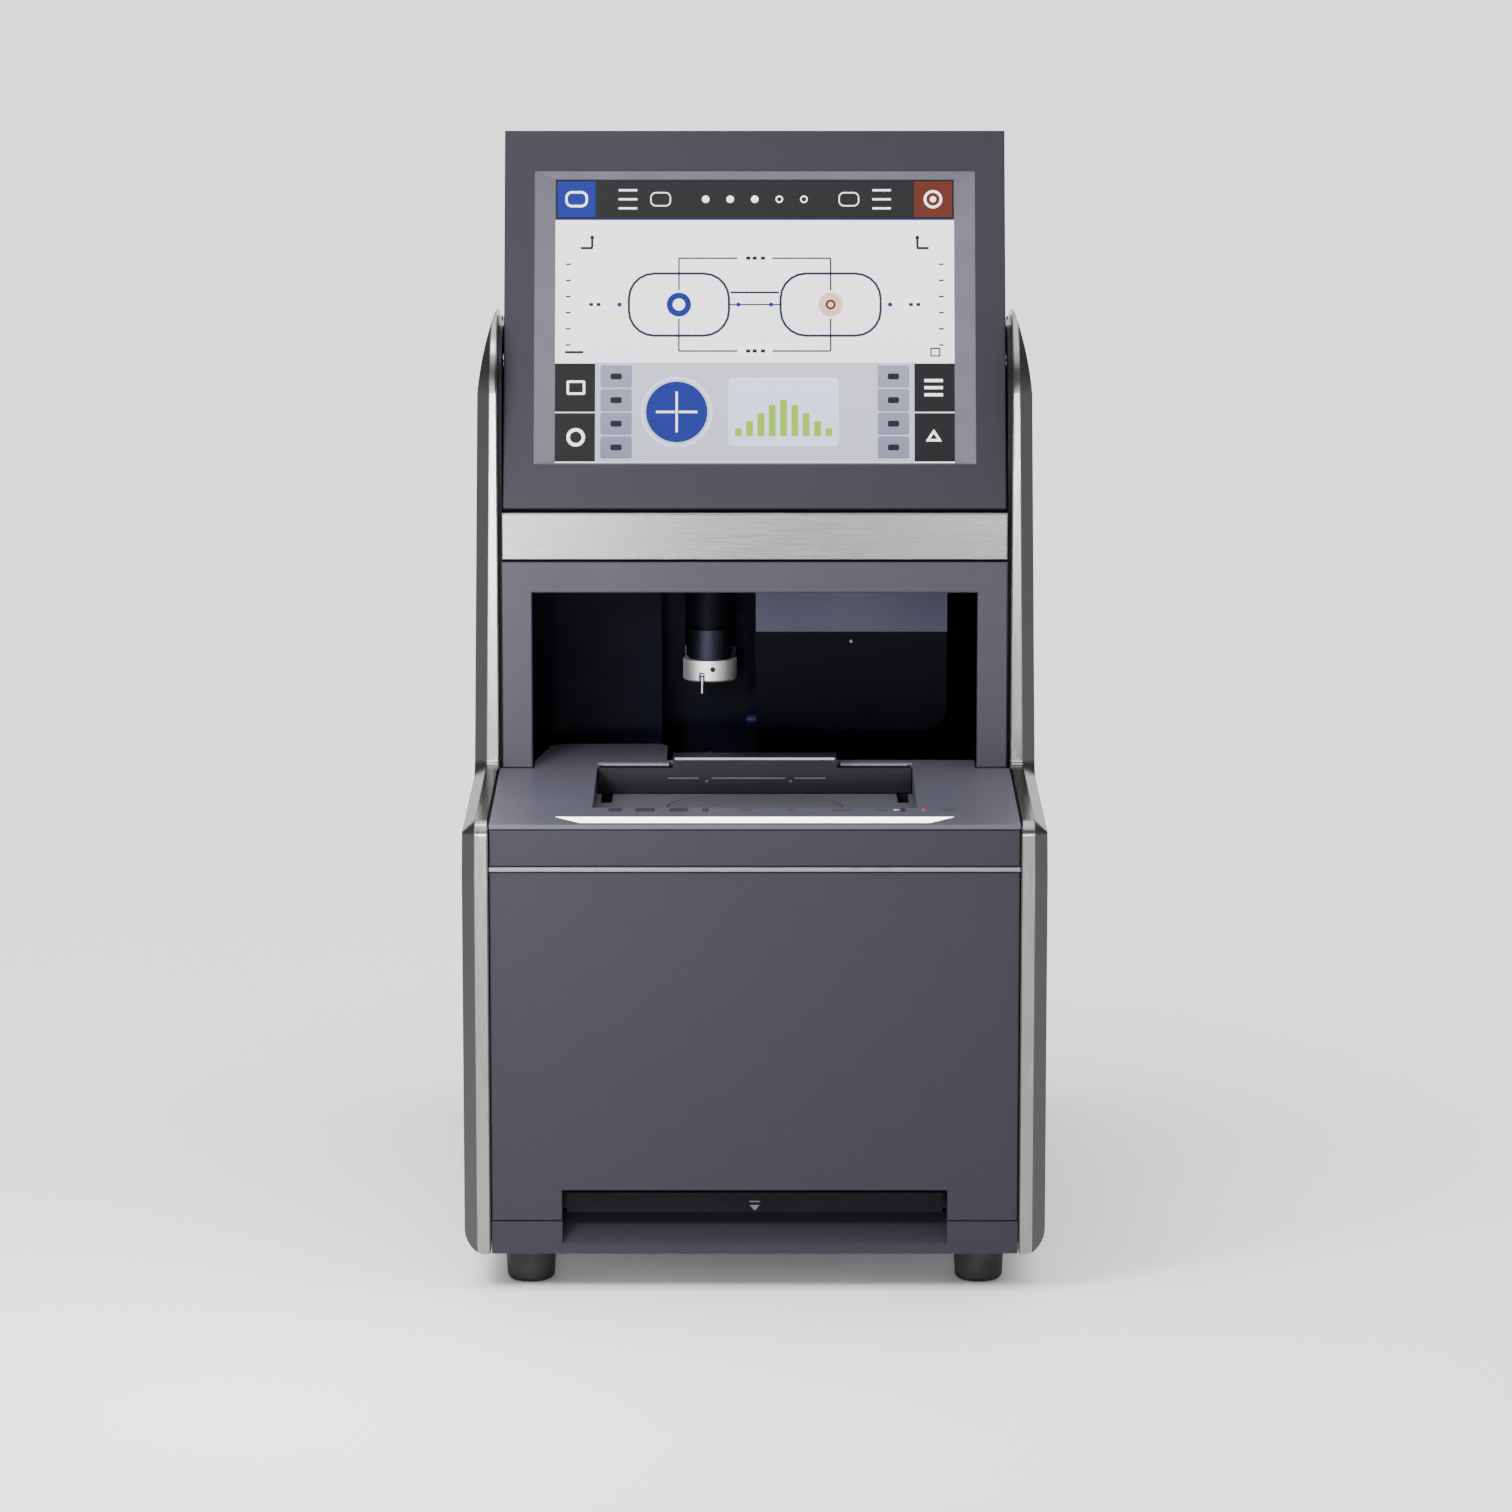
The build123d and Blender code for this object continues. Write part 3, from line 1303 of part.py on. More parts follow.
def display_panel():
    """Flat display behind the glass."""
    y0 = -MON_FRONT + RECESS + GLASS_T
    half = SCREEN_HALF + PANEL_LAP
    low = SCREEN_LOW - MON_LOW - PANEL_LAP
    high = SCREEN_HIGH - MON_LOW + PANEL_LAP
    return monitor_place() * block(-half, half, y0, y0 + PANEL_T, low, high)


def monitor_shell():
    """Rear shell of the monitor, drawn in at its lower edge."""
    top = MON_TALL - MON_LOW
    y0 = -MON_FRONT + PART_LINE
    outline = [
        (y0, -MON_LOW),
        (MON_BACK - TAIL_IN, -MON_LOW),
        (MON_BACK, -MON_LOW + TAIL_RISE),
        (MON_BACK, top),
        (y0, top),
    ]
    inner = [
        (y0 - OVERRUN, -MON_LOW + SHELL_T),
        (MON_BACK - TAIL_IN - SHELL_T, -MON_LOW + SHELL_T),
        (MON_BACK - SHELL_T, -MON_LOW + TAIL_RISE),
        (MON_BACK - SHELL_T, top - SHELL_T),
        (y0 - OVERRUN, top - SHELL_T),
    ]
    wall = MON_HALF - SHELL_T
    shell = slab_x(outline, -MON_HALF, MON_HALF)
    shell = fillet(shell.faces().sort_by(Axis.Y)[-1].edges(), SHELL_R) - slab_x(inner, -wall, wall)
    shell -= rod_x(HINGE_R, 0, 0, -MON_HALF - OVERRUN, MON_HALF + OVERRUN)
    return monitor_place() * shell


def hinge_pin():
    """Hinge pin of the monitor with its plate inside the shell."""
    wall = MON_HALF - SHELL_T
    y1 = MON_BACK - SHELL_T
    plate = block(wall - HINGE_PLATE, wall, y1 - HINGE_PLATE_D, y1, -HINGE_PLATE_H / 2, HINGE_PLATE_H / 2)
    return monitor_place() * (plate + rod_x(HINGE_R, 0, 0, wall, wall + HINGE_LONG))


def hinge_bush():
    """Friction bush of the monitor's hinge, on the chassis plate."""
    bush = rod_x(BUSH_R, PIVOT_Y, PIVOT_Z, INNER, INNER + BUSH_LONG)
    return bush - rod_x(HINGE_R + TURN_FIT, PIVOT_Y, PIVOT_Z, INNER - OVERRUN, HALF)


def power_supply():
    """Power supply on the base plate."""
    x1 = CHASSIS_HALF - SUPPLY_SIDE
    y1 = BACK - REAR_SPACE
    case = block(-x1, -SUPPLY_X, y1 - SUPPLY_LONG, y1, BASE_TOP, BASE_TOP + SUPPLY_H)
    return fillet(case.edges().filter_by(Axis.Z), CASE_WALL)


def main_board():
    """Main board on stand-offs with a heat sink and a connector row."""
    x0 = MAIN_X
    x1 = CHASSIS_HALF - MAIN_SIDE
    y1 = BACK - REAR_SPACE
    y0 = y1 - MAIN_LONG
    z0 = BASE_TOP + MAIN_LIFT
    board = block(x0, x1, y0, y1, z0, z0 + BOARD_T)
    for x in (x0 + POST_R, x1 - POST_R):
        for y in (y0 + POST_R, y1 - POST_R):
            board += rod_z(SCREW_HEAD_R, x, y, BASE_TOP, z0)
    middle_x = (x0 + x1) / 2
    middle_y = (y0 + y1) / 2
    top = z0 + BOARD_T
    board += Pos(middle_x, middle_y, top + CHIP_H / 2) * Box(CHIP, CHIP, CHIP_H)
    return board + block(x0 + POST_R * 2, x1 - POST_R * 2, y0, y0 + MAIN_LIFT, top, top + MAIN_LIFT)


def rear_insert(x, wide, tall, deep):
    """Body that sits in a cut-out of the back, with a collar on the outside."""
    y = BACK - SKIN_IN
    z = BASE_Z + REAR_ROW_Z
    w = wide / 2 - SLIDE_FIT
    h = tall / 2 - SLIDE_FIT
    body = block(x - w, x + w, y - deep, y, z - h, z + h)
    edge = SHEET + SLIDE_FIT
    return body + block(x - w - edge, x + w + edge, y, y + SHEET, z - h - edge, z + h + edge)


def power_inlet():
    """Three-pin power inlet."""
    y = BACK - SKIN_IN
    z = BASE_Z + REAR_ROW_Z
    body = rear_insert(-INLET_X, INLET_W, INLET_H, INLET_DEEP)
    w = INLET_W / 2 - SHEET
    h = INLET_H / 2 - SHEET
    body -= block(-INLET_X - w, -INLET_X + w, y - INLET_DEEP + SHEET, BACK, z - h, z + h)
    for x, up in ((-w / 2, -SHEET), (0, SHEET), (w / 2, -SHEET)):
        body += block(
            -INLET_X + x - SHEET / 2,
            -INLET_X + x + SHEET / 2,
            y - INLET_DEEP + SHEET,
            y - PLUG_ROOM,
            z + up - SHEET,
            z + up + SHEET,
        )
    return body


def switch_frame():
    """Frame of the mains switch."""
    y = BACK - SKIN_IN
    z = BASE_Z + REAR_ROW_Z
    w = SWITCH_W / 2 - SHEET
    h = SWITCH_H / 2 - SHEET
    body = rear_insert(-SWITCH_X, SWITCH_W, SWITCH_H, SWITCH_DEEP)
    return body - block(-SWITCH_X - w, -SWITCH_X + w, y - SWITCH_DEEP + SHEET, BACK, z - h, z + h)


def switch_axis_y():
    """Depth of the rocker's axis."""
    return BACK - SKIN_IN - SHEET


def power_rocker():
    """Rocker of the mains switch, tipped to its off side."""
    z = BASE_Z + REAR_ROW_Z
    y = switch_axis_y()
    w = SWITCH_W / 2 - SHEET - GAP
    h = SWITCH_H / 2 - SHEET - SIDE_GAP * 2
    body = block(-w, w, -SHEET, SHEET * 2, -h, h)
    body = fillet(body.edges().filter_by(Axis.X), SIDE_GAP)
    return Pos(-SWITCH_X, y, z) * Rot(-SWITCH_DEG, 0, 0) * body


def port_panel():
    """Panel with the data ports."""
    y = BACK - SKIN_IN
    z = BASE_Z + REAR_ROW_Z
    panel = rear_insert(PORTS_X, PORTS_W, PORTS_H, SKIN)
    pitch = PORTS_W / (len(PORT_SHARES) + 1)
    for i, share in enumerate(PORT_SHARES):
        x = PORTS_X - PORTS_W / 2 + pitch * (i + 1)
        w = pitch * share / 2
        h = PORTS_H / 4
        panel -= block(x - w, x + w, y - SHEET / 2, BACK, z - h, z + h)
    return panel


def fan_z():
    """Height of the fan's axis."""
    return BASE_Z + FAN_UP


def fan_frame():
    """Square frame of the fan, with the spider that carries its motor."""
    y1 = BACK - SKIN_IN - SKIN
    y0 = y1 - FAN_T
    z = fan_z()
    frame = block(-FAN_HALF, FAN_HALF, y0, y1, z - FAN_HALF, z + FAN_HALF)
    frame -= rod_y(FAN_R + SIDE_GAP, 0, z, y0 - OVERRUN, y1 + OVERRUN)
    spider_y = y0 + SHEET
    for turn in SPIDER_TURNS:
        bar = Pos(0, y0 + SHEET / 2, z) * Rot(0, turn, 0) * Box((FAN_R + SHEET) * 2, SHEET, SKIN)
        frame += bar
    frame += rod_y(FAN_HUB_R - SHEET, 0, z, y0, spider_y)
    return frame + rod_y(AXLE_R, 0, z, spider_y, y1 - FAN_T / 3)


def fan_rotor():
    """Hub and blades of the fan."""
    y1 = BACK - SKIN_IN - SKIN - SHEET
    y0 = y1 - FAN_T + SHEET * 2 + GAP
    z = fan_z()
    rotor = rod_y(FAN_HUB_R, 0, z, y0, y1)
    reach = (FAN_HUB_R + FAN_R) / 2
    for i in range(FAN_BLADES):
        turn = Rot(0, 360 / FAN_BLADES * i, 0)
        blade = Box(FAN_R - FAN_HUB_R + SHEET, SHEET / 2, FAN_T / 2 + SHEET)
        blade = Pos(reach, 0, 0) * Rot(BLADE_PITCH, 0, 0) * blade
        limit = Rot(90, 0, 0) * Cylinder(FAN_R - SHEET, y1 - y0)
        rotor += Pos(0, (y0 + y1) / 2, z) * turn * (blade & limit)
    return rotor - rod_y(AXLE_R + TURN_FIT, 0, z, y0 - OVERRUN, y1 - SHEET)


def save_casing():
    """Write the casing."""
    save("base_plate", base_plate())
    save("rubber_feet", *[rubber_foot(x, y) for x, y in foot_places()])
    save_pair("side_covers", side_cover())
    save_pair("side_trims", side_trim())
    save_pair("chassis_plates", chassis_plate())
    save("front_sill", sill())
    save("front_fascia", fascia())
    save("fascia_strip", trim_strip())
    save("deck_panel", deck())
    save("light_bar", light_bar_shape(0, BAR_T))
    save("bay_bezel", bezel())
    save("brushed_band", band())
    save("well_panel", well_panel())
    save("top_cover", top_cover())
    save("back_cover", back_cover())
    foot_set = [foot_screw(x, y) for x, y in foot_places()]
    rear_set = [case_screw(x, z) for x, z in rear_screw_places()]
    save("screws", *foot_set, *rear_set)


def save_drawer():
    """Write the drawer."""
    save("drawer_front", drawer_front())
    save("drawer_box", drawer_box(), drawer_runner(), mirrored(drawer_runner()))
    save_pair("slide_channels", slide_channel())
    save("release_bar", release_bar())


def save_tracer():
    """Write the tracer."""
    save("tracer_shelf", tracer_shelf())
    save("tracer_frame", tracer_frame())
    save("turn_bearing", turn_bearing())
    save("turntable", turntable(), *stylus_rods())
    save("tracer_disc", tracer_disc())
    save("stylus_carriage", stylus_carriage())
    save("stylus", stylus())
    save("tracer_stage", stage())
    save("rear_jaw", rear_jaw())
    save("front_jaw", front_jaw())
    save("turn_belt", turn_belt())
    save("motor_pulley", motor_pulley())


def save_bay():
    """Write the blocking bay and the head."""
    save("bay_liner", liner())
    save("lens_ring", lens_ring(), *lens_pins())
    save("lens_camera", lens_camera(), floor_window())
    save("drive_cover", drive_cover(), column_cover())
    save("optics_housing", optics_housing())
    save("optics_front", optics_front())
    save("optics_band", optics_band())
    save("guide_lamp", guide_lamp())
    save("column_bracket", column_bracket())
    save("guide_rods", *guide_rods(), *jaw_rods())
    save("leadscrew", leadscrew())
    save("drive_motors", head_motor(), tracer_motor())
    save("head_carriage", head_carriage())
    save("head_housing", head_housing())
    save("chuck_ring", chuck_ring())
    save("release_lever", release_lever())


def save_monitor():
    """Write the monitor."""
    save("monitor_bezel", monitor_bezel())
    save("monitor_surround", monitor_surround())
    save("display_module", touch_glass(), display_panel())
    save("monitor_shell", monitor_shell())
    save_pair("hinge_pins", hinge_pin())
    save_pair("hinge_bushes", hinge_bush())


def save_electronics():
    """Write the electronics and the rear row."""
    save("power_supply", power_supply())
    save("main_board", main_board())
    save("rear_connectors", power_inlet(), switch_frame(), port_panel())
    save("power_rocker", power_rocker())
    save("fan_frame", fan_frame())
    save("fan_rotor", fan_rotor())


save_casing()
save_drawer()
save_tracer()
save_bay()
save_monitor()
save_electronics()
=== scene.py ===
"""Bench machine that traces and blocks spectacle lenses, dressed for a studio view.

Lengths are in metres, with +X to the right, +Y to the back and +Z up, as in the frame.
Flat marks give their places in millimetres on their own plane.
"""

import json
import logging
from contextlib import contextmanager
from dataclasses import dataclass, replace
from enum import Enum
from functools import cache
from math import cos, hypot, pi, radians, sin
from typing import Callable, ClassVar, Iterator, Sequence

import bmesh
import bpy
from mathutils import Matrix, Vector


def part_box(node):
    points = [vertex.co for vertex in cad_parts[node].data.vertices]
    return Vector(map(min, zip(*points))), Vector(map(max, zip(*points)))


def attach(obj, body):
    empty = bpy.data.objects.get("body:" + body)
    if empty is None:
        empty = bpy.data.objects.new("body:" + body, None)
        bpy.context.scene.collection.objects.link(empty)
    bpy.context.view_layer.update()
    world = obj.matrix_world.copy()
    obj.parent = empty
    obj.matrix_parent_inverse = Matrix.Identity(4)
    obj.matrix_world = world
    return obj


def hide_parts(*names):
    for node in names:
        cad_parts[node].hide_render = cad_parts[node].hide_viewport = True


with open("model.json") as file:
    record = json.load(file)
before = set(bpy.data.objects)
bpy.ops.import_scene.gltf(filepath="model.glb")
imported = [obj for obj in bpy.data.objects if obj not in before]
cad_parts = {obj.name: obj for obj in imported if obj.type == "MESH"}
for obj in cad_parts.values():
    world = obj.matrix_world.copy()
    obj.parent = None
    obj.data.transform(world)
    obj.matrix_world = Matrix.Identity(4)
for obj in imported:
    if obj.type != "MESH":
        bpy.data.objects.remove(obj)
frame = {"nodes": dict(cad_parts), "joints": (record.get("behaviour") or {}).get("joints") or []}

MM = 0.001

# Steps of a circle and of a rounded corner, and the thickness of one printed layer
ROUND_SIDES = 40
CORNER_STEPS = 5
LAYER = 0.06 * MM

# Distance under which points are merged, and the rounding of a cylinder as a share of its size
DOUBLES = 0.001 * MM
EDGE_SHARE = 0.15

# Angles from which an edge is rounded, and up to which it is shaded smooth
SHARP_ANGLE = radians(35)
SMOOTH_ANGLE = radians(30)

# Values between which a finish follows a noise
NOISE_LOW = 0.3
NOISE_HIGH = 0.7

LOG = logging.getLogger("scene")

Color = tuple[float, float, float]
Triple = tuple[float, float, float]
Pair = tuple[float, float]
Socket = bpy.types.NodeSocket

ORIGIN: Triple = (0.0, 0.0, 0.0)
TO_FRONT: Triple = (0.0, -1.0, 0.0)
TO_BACK: Triple = (0.0, 1.0, 0.0)
UP: Triple = (0.0, 0.0, 1.0)
DOWN: Triple = (0.0, 0.0, -1.0)
EVEN: Triple = (1.0, 1.0, 1.0)
WHITE: Color = (1.0, 1.0, 1.0)


class Grain(Enum):
    """Direction in which a brushed sheet is drawn, as the stretch of its lines."""

    ALONG_X = (0.03, 1.0, 1.0)
    ALONG_EDGE = (1.0, 0.02, 0.02)


class Shape(Enum):
    """Outline of a flat mark."""

    TILE = "tile"
    DISC = "disc"
    WEDGE = "wedge"


def set_sockets(node: bpy.types.Node, values: dict[str, object]) -> None:
    """Sets plain values on the sockets of a node."""
    for socket, value in values.items():
        node.inputs[socket].default_value = value


def add_node(
    tree: bpy.types.NodeTree, kind: str, values: dict[str, object], source: Socket, into: str = "Vector"
) -> bpy.types.Node:
    """Adds a node that one socket feeds.

    Args:
        tree: Node tree that takes the node.
        kind: Type of the node, after the common start of its name.
        values: Socket names with their values.
        source: Socket that feeds the node.
        into: Socket of the node that takes it.

    Returns:
        The new node.
    """
    node = tree.nodes.new("ShaderNode" + kind)
    set_sockets(node, values)
    tree.links.new(source, node.inputs[into])
    return node


def ranged(tree: bpy.types.NodeTree, source: Socket, *limits: float) -> Socket:
    """Maps a value from one range to another.

    Args:
        tree: Node tree.
        source: Socket with the value.
        limits: Lowest and highest value in, then out; out is 0 to 1 where it isn't given.

    Returns:
        The socket with the mapped value.
    """
    values = dict(zip(("From Min", "From Max", "To Min", "To Max"), limits))
    return add_node(tree, "MapRange", values, source, "Value").outputs["Result"]


class Shader:
    """Node tree of one material, with the few steps that the finishes share."""

    def __init__(self, name: str) -> None:
        """Starts an empty material.

        Args:
            name: Name of the material.
        """
        self.material = bpy.data.materials.new(name)
        self.material.use_nodes = True
        self.tree = self.material.node_tree
        self.surface = self.tree.nodes["Principled BSDF"]
        self.coordinates = self.tree.nodes.new("ShaderNodeTexCoord").outputs["Object"]

    def constants(self, values: dict[str, object]) -> None:
        """Sets plain values on the surface shader."""
        set_sockets(self.surface, values)

    def feed(self, source: Socket, socket: str) -> None:
        """Lets a value drive a socket of the surface shader."""
        self.tree.links.new(source, self.surface.inputs[socket])

    def mapped(self, scale: Triple = EVEN, centre: Triple = ORIGIN) -> Socket:
        """Object coordinates, moved to a centre and scaled.

        Args:
            scale: Stretch along each axis.
            centre: Point of the piece that becomes the origin.

        Returns:
            The socket with the mapped coordinates.
        """
        place = {"Location": [-value for value in centre]}
        shift = add_node(self.tree, "Mapping", place, self.coordinates).outputs["Vector"]
        return add_node(self.tree, "Mapping", {"Scale": scale}, shift).outputs["Vector"]

    def noise(self, scale: float, detail: float, stretch: Triple = EVEN) -> Socket:
        """Noise over the piece.

        Args:
            scale: Fineness in cycles a metre.
            detail: Number of finer layers.
            stretch: Stretch along each axis.

        Returns:
            The socket with the noise value.
        """
        values = {"Scale": scale, "Detail": detail}
        return add_node(self.tree, "TexNoise", values, self.mapped(stretch)).outputs["Fac"]

    def ramp(self, driver: Socket, stops: Sequence[tuple[float, Color]], socket: str = "Base Color") -> None:
        """Colours the surface by a value.

        Args:
            driver: Socket with the value.
            stops: The two ends of the ramp, each with its place and colour.
            socket: Socket of the surface shader that takes the colour.
        """
        node = add_node(self.tree, "ValToRGB", {}, driver, "Fac")
        for element, (place, color) in zip(node.color_ramp.elements, stops):
            element.position = place
            element.color = (*color, 1.0)
        self.feed(node.outputs["Color"], socket)

    def tint(
        self, driver: Socket, color: Color, spread: float, low: float = NOISE_LOW, high: float = NOISE_HIGH
    ) -> None:
        """Colours the surface between a darker and a lighter tone.

        Args:
            driver: Socket with the value.
            color: Middle tone.
            spread: Share by which the tones differ from the middle.
            low: Value of the darker tone.
            high: Value of the lighter tone.
        """
        dark = tuple(value * (1.0 - spread) for value in color)
        light = tuple(min(1.0, value * (1.0 + spread)) for value in color)
        self.ramp(driver, [(low, dark), (high, light)])

    def roughen(self, driver: Socket, low: float, high: float) -> None:
        """Lets the roughness follow a value between two limits."""
        self.feed(ranged(self.tree, driver, NOISE_LOW, NOISE_HIGH, low, high), "Roughness")

    def bump(self, height: Socket, strength: float, distance: float) -> None:
        """Raises and sinks the surface by a value, to a depth in metres."""
        values = {"Strength": strength, "Distance": distance}
        self.feed(add_node(self.tree, "Bump", values, height, "Height").outputs["Normal"], "Normal")


@dataclass(frozen=True)
class Finish:
    """Look of a surface, made as one material."""

    name: str

    def shade(self, shader: Shader) -> None:
        """Sets up the shader of the finish."""
        raise NotImplementedError

    def make(self) -> bpy.types.Material:
        """Makes the material.

        Returns:
            The new material.
        """
        shader = Shader(self.name)
        self.shade(shader)
        return shader.material


@dataclass(frozen=True)
class Paint(Finish):
    """Stoved satin paint with a faint orange peel."""

    color: Color
    roughness: float = 0.4
    specular: float = 0.3
    spread: float = 0.05
    peel: float = 0.12
    flake: float = 3000.0

    def shade(self, shader: Shader) -> None:
        """Sets up the painted material.

        Args:
            shader: Its shader.
        """
        shader.constants({"Metallic": 0.0, "Specular IOR Level": self.specular})
        shader.tint(shader.noise(self.flake, 2.0), self.color, self.spread)
        shader.roughen(shader.noise(18.0, 4.0), self.roughness - 0.04, self.roughness + 0.05)
        shader.bump(shader.noise(900.0, 2.0), self.peel, 0.02 * MM)


@dataclass(frozen=True)
class Brushed(Finish):
    """Metal sheet drawn in one direction."""

    color: Color
    grain: Grain
    roughness: float = 0.3
    spread: float = 0.16
    lines: float = 2600.0
    relief: float = 0.25

    def shade(self, shader: Shader) -> None:
        """Sets up the brushed material.

        Args:
            shader: Its shader.
        """
        shader.constants({"Metallic": 1.0})
        streaks = shader.noise(self.lines, 3.0, self.grain.value)
        shader.tint(streaks, self.color, self.spread)
        shader.roughen(streaks, self.roughness, self.roughness + 0.1)
        shader.bump(streaks, self.relief, 0.01 * MM)


@dataclass(frozen=True)
class Metal(Finish):
    """Milled, cast or plated metal with a mottled tone."""

    color: Color
    roughness: float = 0.32
    mottle: float = 220.0
    spread: float = 0.1
    relief: float = 0.12

    def shade(self, shader: Shader) -> None:
        """Sets up the metal.

        Args:
            shader: Its shader.
        """
        shader.constants({"Metallic": 1.0})
        shader.tint(shader.noise(self.mottle, 6.0), self.color, self.spread)
        shader.roughen(shader.noise(self.mottle * 3.0, 3.0), self.roughness - 0.06, self.roughness + 0.1)
        shader.bump(shader.noise(self.mottle * 9.0, 2.0), self.relief, 0.02 * MM)


@dataclass(frozen=True)
class Turned(Finish):
    """Metal turned on a lathe, with rings round an upright axis."""

    color: Color
    centre: Triple
    pitch: float = 0.4 * MM
    roughness: float = 0.26
    spread: float = 0.1

    def shade(self, shader: Shader) -> None:
        """Sets up the turned metal.

        Args:
            shader: Its shader.
        """
        shader.constants({"Metallic": 1.0})
        values = {"Scale": 1.0 / (self.pitch * 20.0), "Distortion": 0.6}
        rings = add_node(shader.tree, "TexWave", values, shader.mapped(centre=self.centre))
        rings.wave_type = "RINGS"
        rings.rings_direction = "Z"
        shader.tint(rings.outputs["Fac"], self.color, self.spread, 0.1, 0.9)
        shader.roughen(shader.noise(1500.0, 3.0, (1.0, 1.0, 6.0)), self.roughness, self.roughness + 0.12)
        shader.bump(rings.outputs["Fac"], 0.15, 0.01 * MM)


@dataclass(frozen=True)
class Moulding(Finish):
    """Moulded plastic with a fine eroded grain."""

    color: Color
    roughness: float = 0.5
    specular: float = 0.25
    grain: float = 1800.0
    relief: float = 0.25
    spread: float = 0.08

    def shade(self, shader: Shader) -> None:
        """Sets up the plastic.

        Args:
            shader: Its shader.
        """
        shader.constants({"Metallic": 0.0, "Specular IOR Level": self.specular})
        shader.tint(shader.noise(60.0, 5.0), self.color, self.spread)
        shader.roughen(shader.noise(30.0, 3.0), self.roughness - 0.04, self.roughness + 0.06)
        cells = add_node(shader.tree, "TexVoronoi", {"Scale": self.grain}, shader.mapped())
        shader.bump(cells.outputs["Distance"], self.relief, 0.03 * MM)


@dataclass(frozen=True)
class Polished(Finish):
    """Glossy plastic with faint wipe marks."""

    color: Color
    roughness: float = 0.1
    specular: float = 0.15

    def shade(self, shader: Shader) -> None:
        """Sets up the glossy plastic.

        Args:
            shader: Its shader.
        """
        shader.constants({"Metallic": 0.0, "Specular IOR Level": self.specular})
        shader.tint(shader.noise(40.0, 4.0), self.color, 0.12)
        shader.roughen(shader.noise(26.0, 5.0, (1.0, 1.0, 0.35)), self.roughness, self.roughness + 0.08)


@dataclass(frozen=True)
class Rubber(Finish):
    """Matte rubber with a dusty bloom."""

    color: Color = (0.018, 0.018, 0.019)
    ribs: float = 0.0

    def shade(self, shader: Shader) -> None:
        """Sets up the rubber.

        Args:
            shader: Its shader.
        """
        shader.constants({"Metallic": 0.0, "Specular IOR Level": 0.3})
        shader.tint(shader.noise(90.0, 6.0), self.color, 0.35)
        shader.roughen(shader.noise(140.0, 4.0), 0.6, 0.82)
        if self.ribs:
            flat = shader.mapped((1.0, 1.0, 0.0))
            bands = add_node(shader.tree, "TexWave", {"Scale": self.ribs}, flat)
            bands.bands_direction = "DIAGONAL"
            shader.bump(bands.outputs["Fac"], 0.5, 0.3 * MM)
        else:
            shader.bump(shader.noise(1600.0, 3.0), 0.3, 0.04 * MM)


@dataclass(frozen=True)
class Lit(Finish):
    """Surface that glows, with a tone that changes upwards between two heights."""

    low: Color
    high: Color
    strength: float
    z_low: float = 0.2
    z_high: float = 0.3

    def shade(self, shader: Shader) -> None:
        """Sets up the glowing material.

        Args:
            shader: Its shader.
        """
        shader.constants({
            "Roughness": 0.25,
            "Specular IOR Level": 0.3,
            "Emission Strength": self.strength,
            "Base Color": (0.01, 0.01, 0.01, 1.0),
        })
        split = add_node(shader.tree, "SeparateXYZ", {}, shader.mapped())
        height = ranged(shader.tree, split.outputs["Z"], self.z_low, self.z_high)
        shader.ramp(height, [(0.0, self.low), (1.0, self.high)], "Emission Color")


@dataclass(frozen=True)
class Lens(Finish):
    """Coated glass of a lamp or a window."""

    color: Color
    roughness: float = 0.05
    glow: float = 0.0

    def shade(self, shader: Shader) -> None:
        """Sets up the glass.

        Args:
            shader: Its shader.
        """
        shader.constants({
            "Transmission Weight": 0.55,
            "IOR": 1.5,
            "Specular IOR Level": 0.1,
            "Emission Color": (*self.color, 1.0),
            "Emission Strength": self.glow,
        })
        shader.tint(shader.noise(300.0, 3.0), self.color, 0.15)
        shader.roughen(shader.noise(120.0, 3.0), self.roughness, self.roughness + 0.05)


@dataclass(frozen=True)
class CircuitBoard(Finish):
    """Lacquered board with copper runs under the lacquer."""

    color: Color = (0.015, 0.09, 0.045)
    copper: Color = (0.05, 0.2, 0.08)

    def shade(self, shader: Shader) -> None:
        """Sets up the board material.

        Args:
            shader: Its shader.
        """
        shader.constants({"Metallic": 0.0, "Coat Weight": 0.4})
        values = {
            "Scale": 160.0,
            "Mortar Size": 0.05,
            "Color1": (*self.color, 1.0),
            "Color2": (*(value * 0.8 for value in self.color), 1.0),
            "Mortar": (*self.copper, 1.0),
        }
        runs = add_node(shader.tree, "TexBrick", values, shader.mapped())
        shader.feed(runs.outputs["Color"], "Base Color")
        shader.roughen(shader.noise(200.0, 3.0), 0.3, 0.45)
        shader.bump(runs.outputs["Fac"], 0.3, 0.05 * MM)


HEAD_AXIS: Triple = (-22.7 * MM, -7.5 * MM, 0.0)

GRAPHITE = Paint("graphite_satin", (0.026, 0.0243, 0.033), specular=0.1)
DECK_PAINT = Paint("deck_paint", (0.062, 0.061, 0.08), roughness=0.36)
PORTAL_PAINT = Paint("portal_paint", (0.038, 0.037, 0.05), roughness=0.42, specular=0.2)
MONITOR_PAINT = Paint("monitor_paint", (0.03, 0.027, 0.035), roughness=0.45, specular=0.1)
REAR_PAINT = Paint("rear_texture_paint", (0.045, 0.043, 0.052), roughness=0.5, peel=0.5, flake=1500.0)
STAGE_PAINT = Paint("stage_paint", (0.062, 0.06, 0.072), roughness=0.45)
MOTOR_PAINT = Paint("motor_paint", (0.02, 0.02, 0.022), roughness=0.45)
# Pale paint of the deck's rims and of the rear jaw's top edge: a painted highlight where the bevel and the
# edge catch the light
PAINTED_EDGE_HIGHLIGHT = Paint("painted_highlight_strip", (0.42, 0.42, 0.5), roughness=0.3)
FRAME_PAINT = Paint("frame_paint", (0.006, 0.006, 0.008), roughness=0.5, specular=0.15)
COVER_METAL = Metal(
    "cover_metallic", (0.064, 0.066, 0.07), roughness=0.36, mottle=900.0, spread=0.06, relief=0.06
)
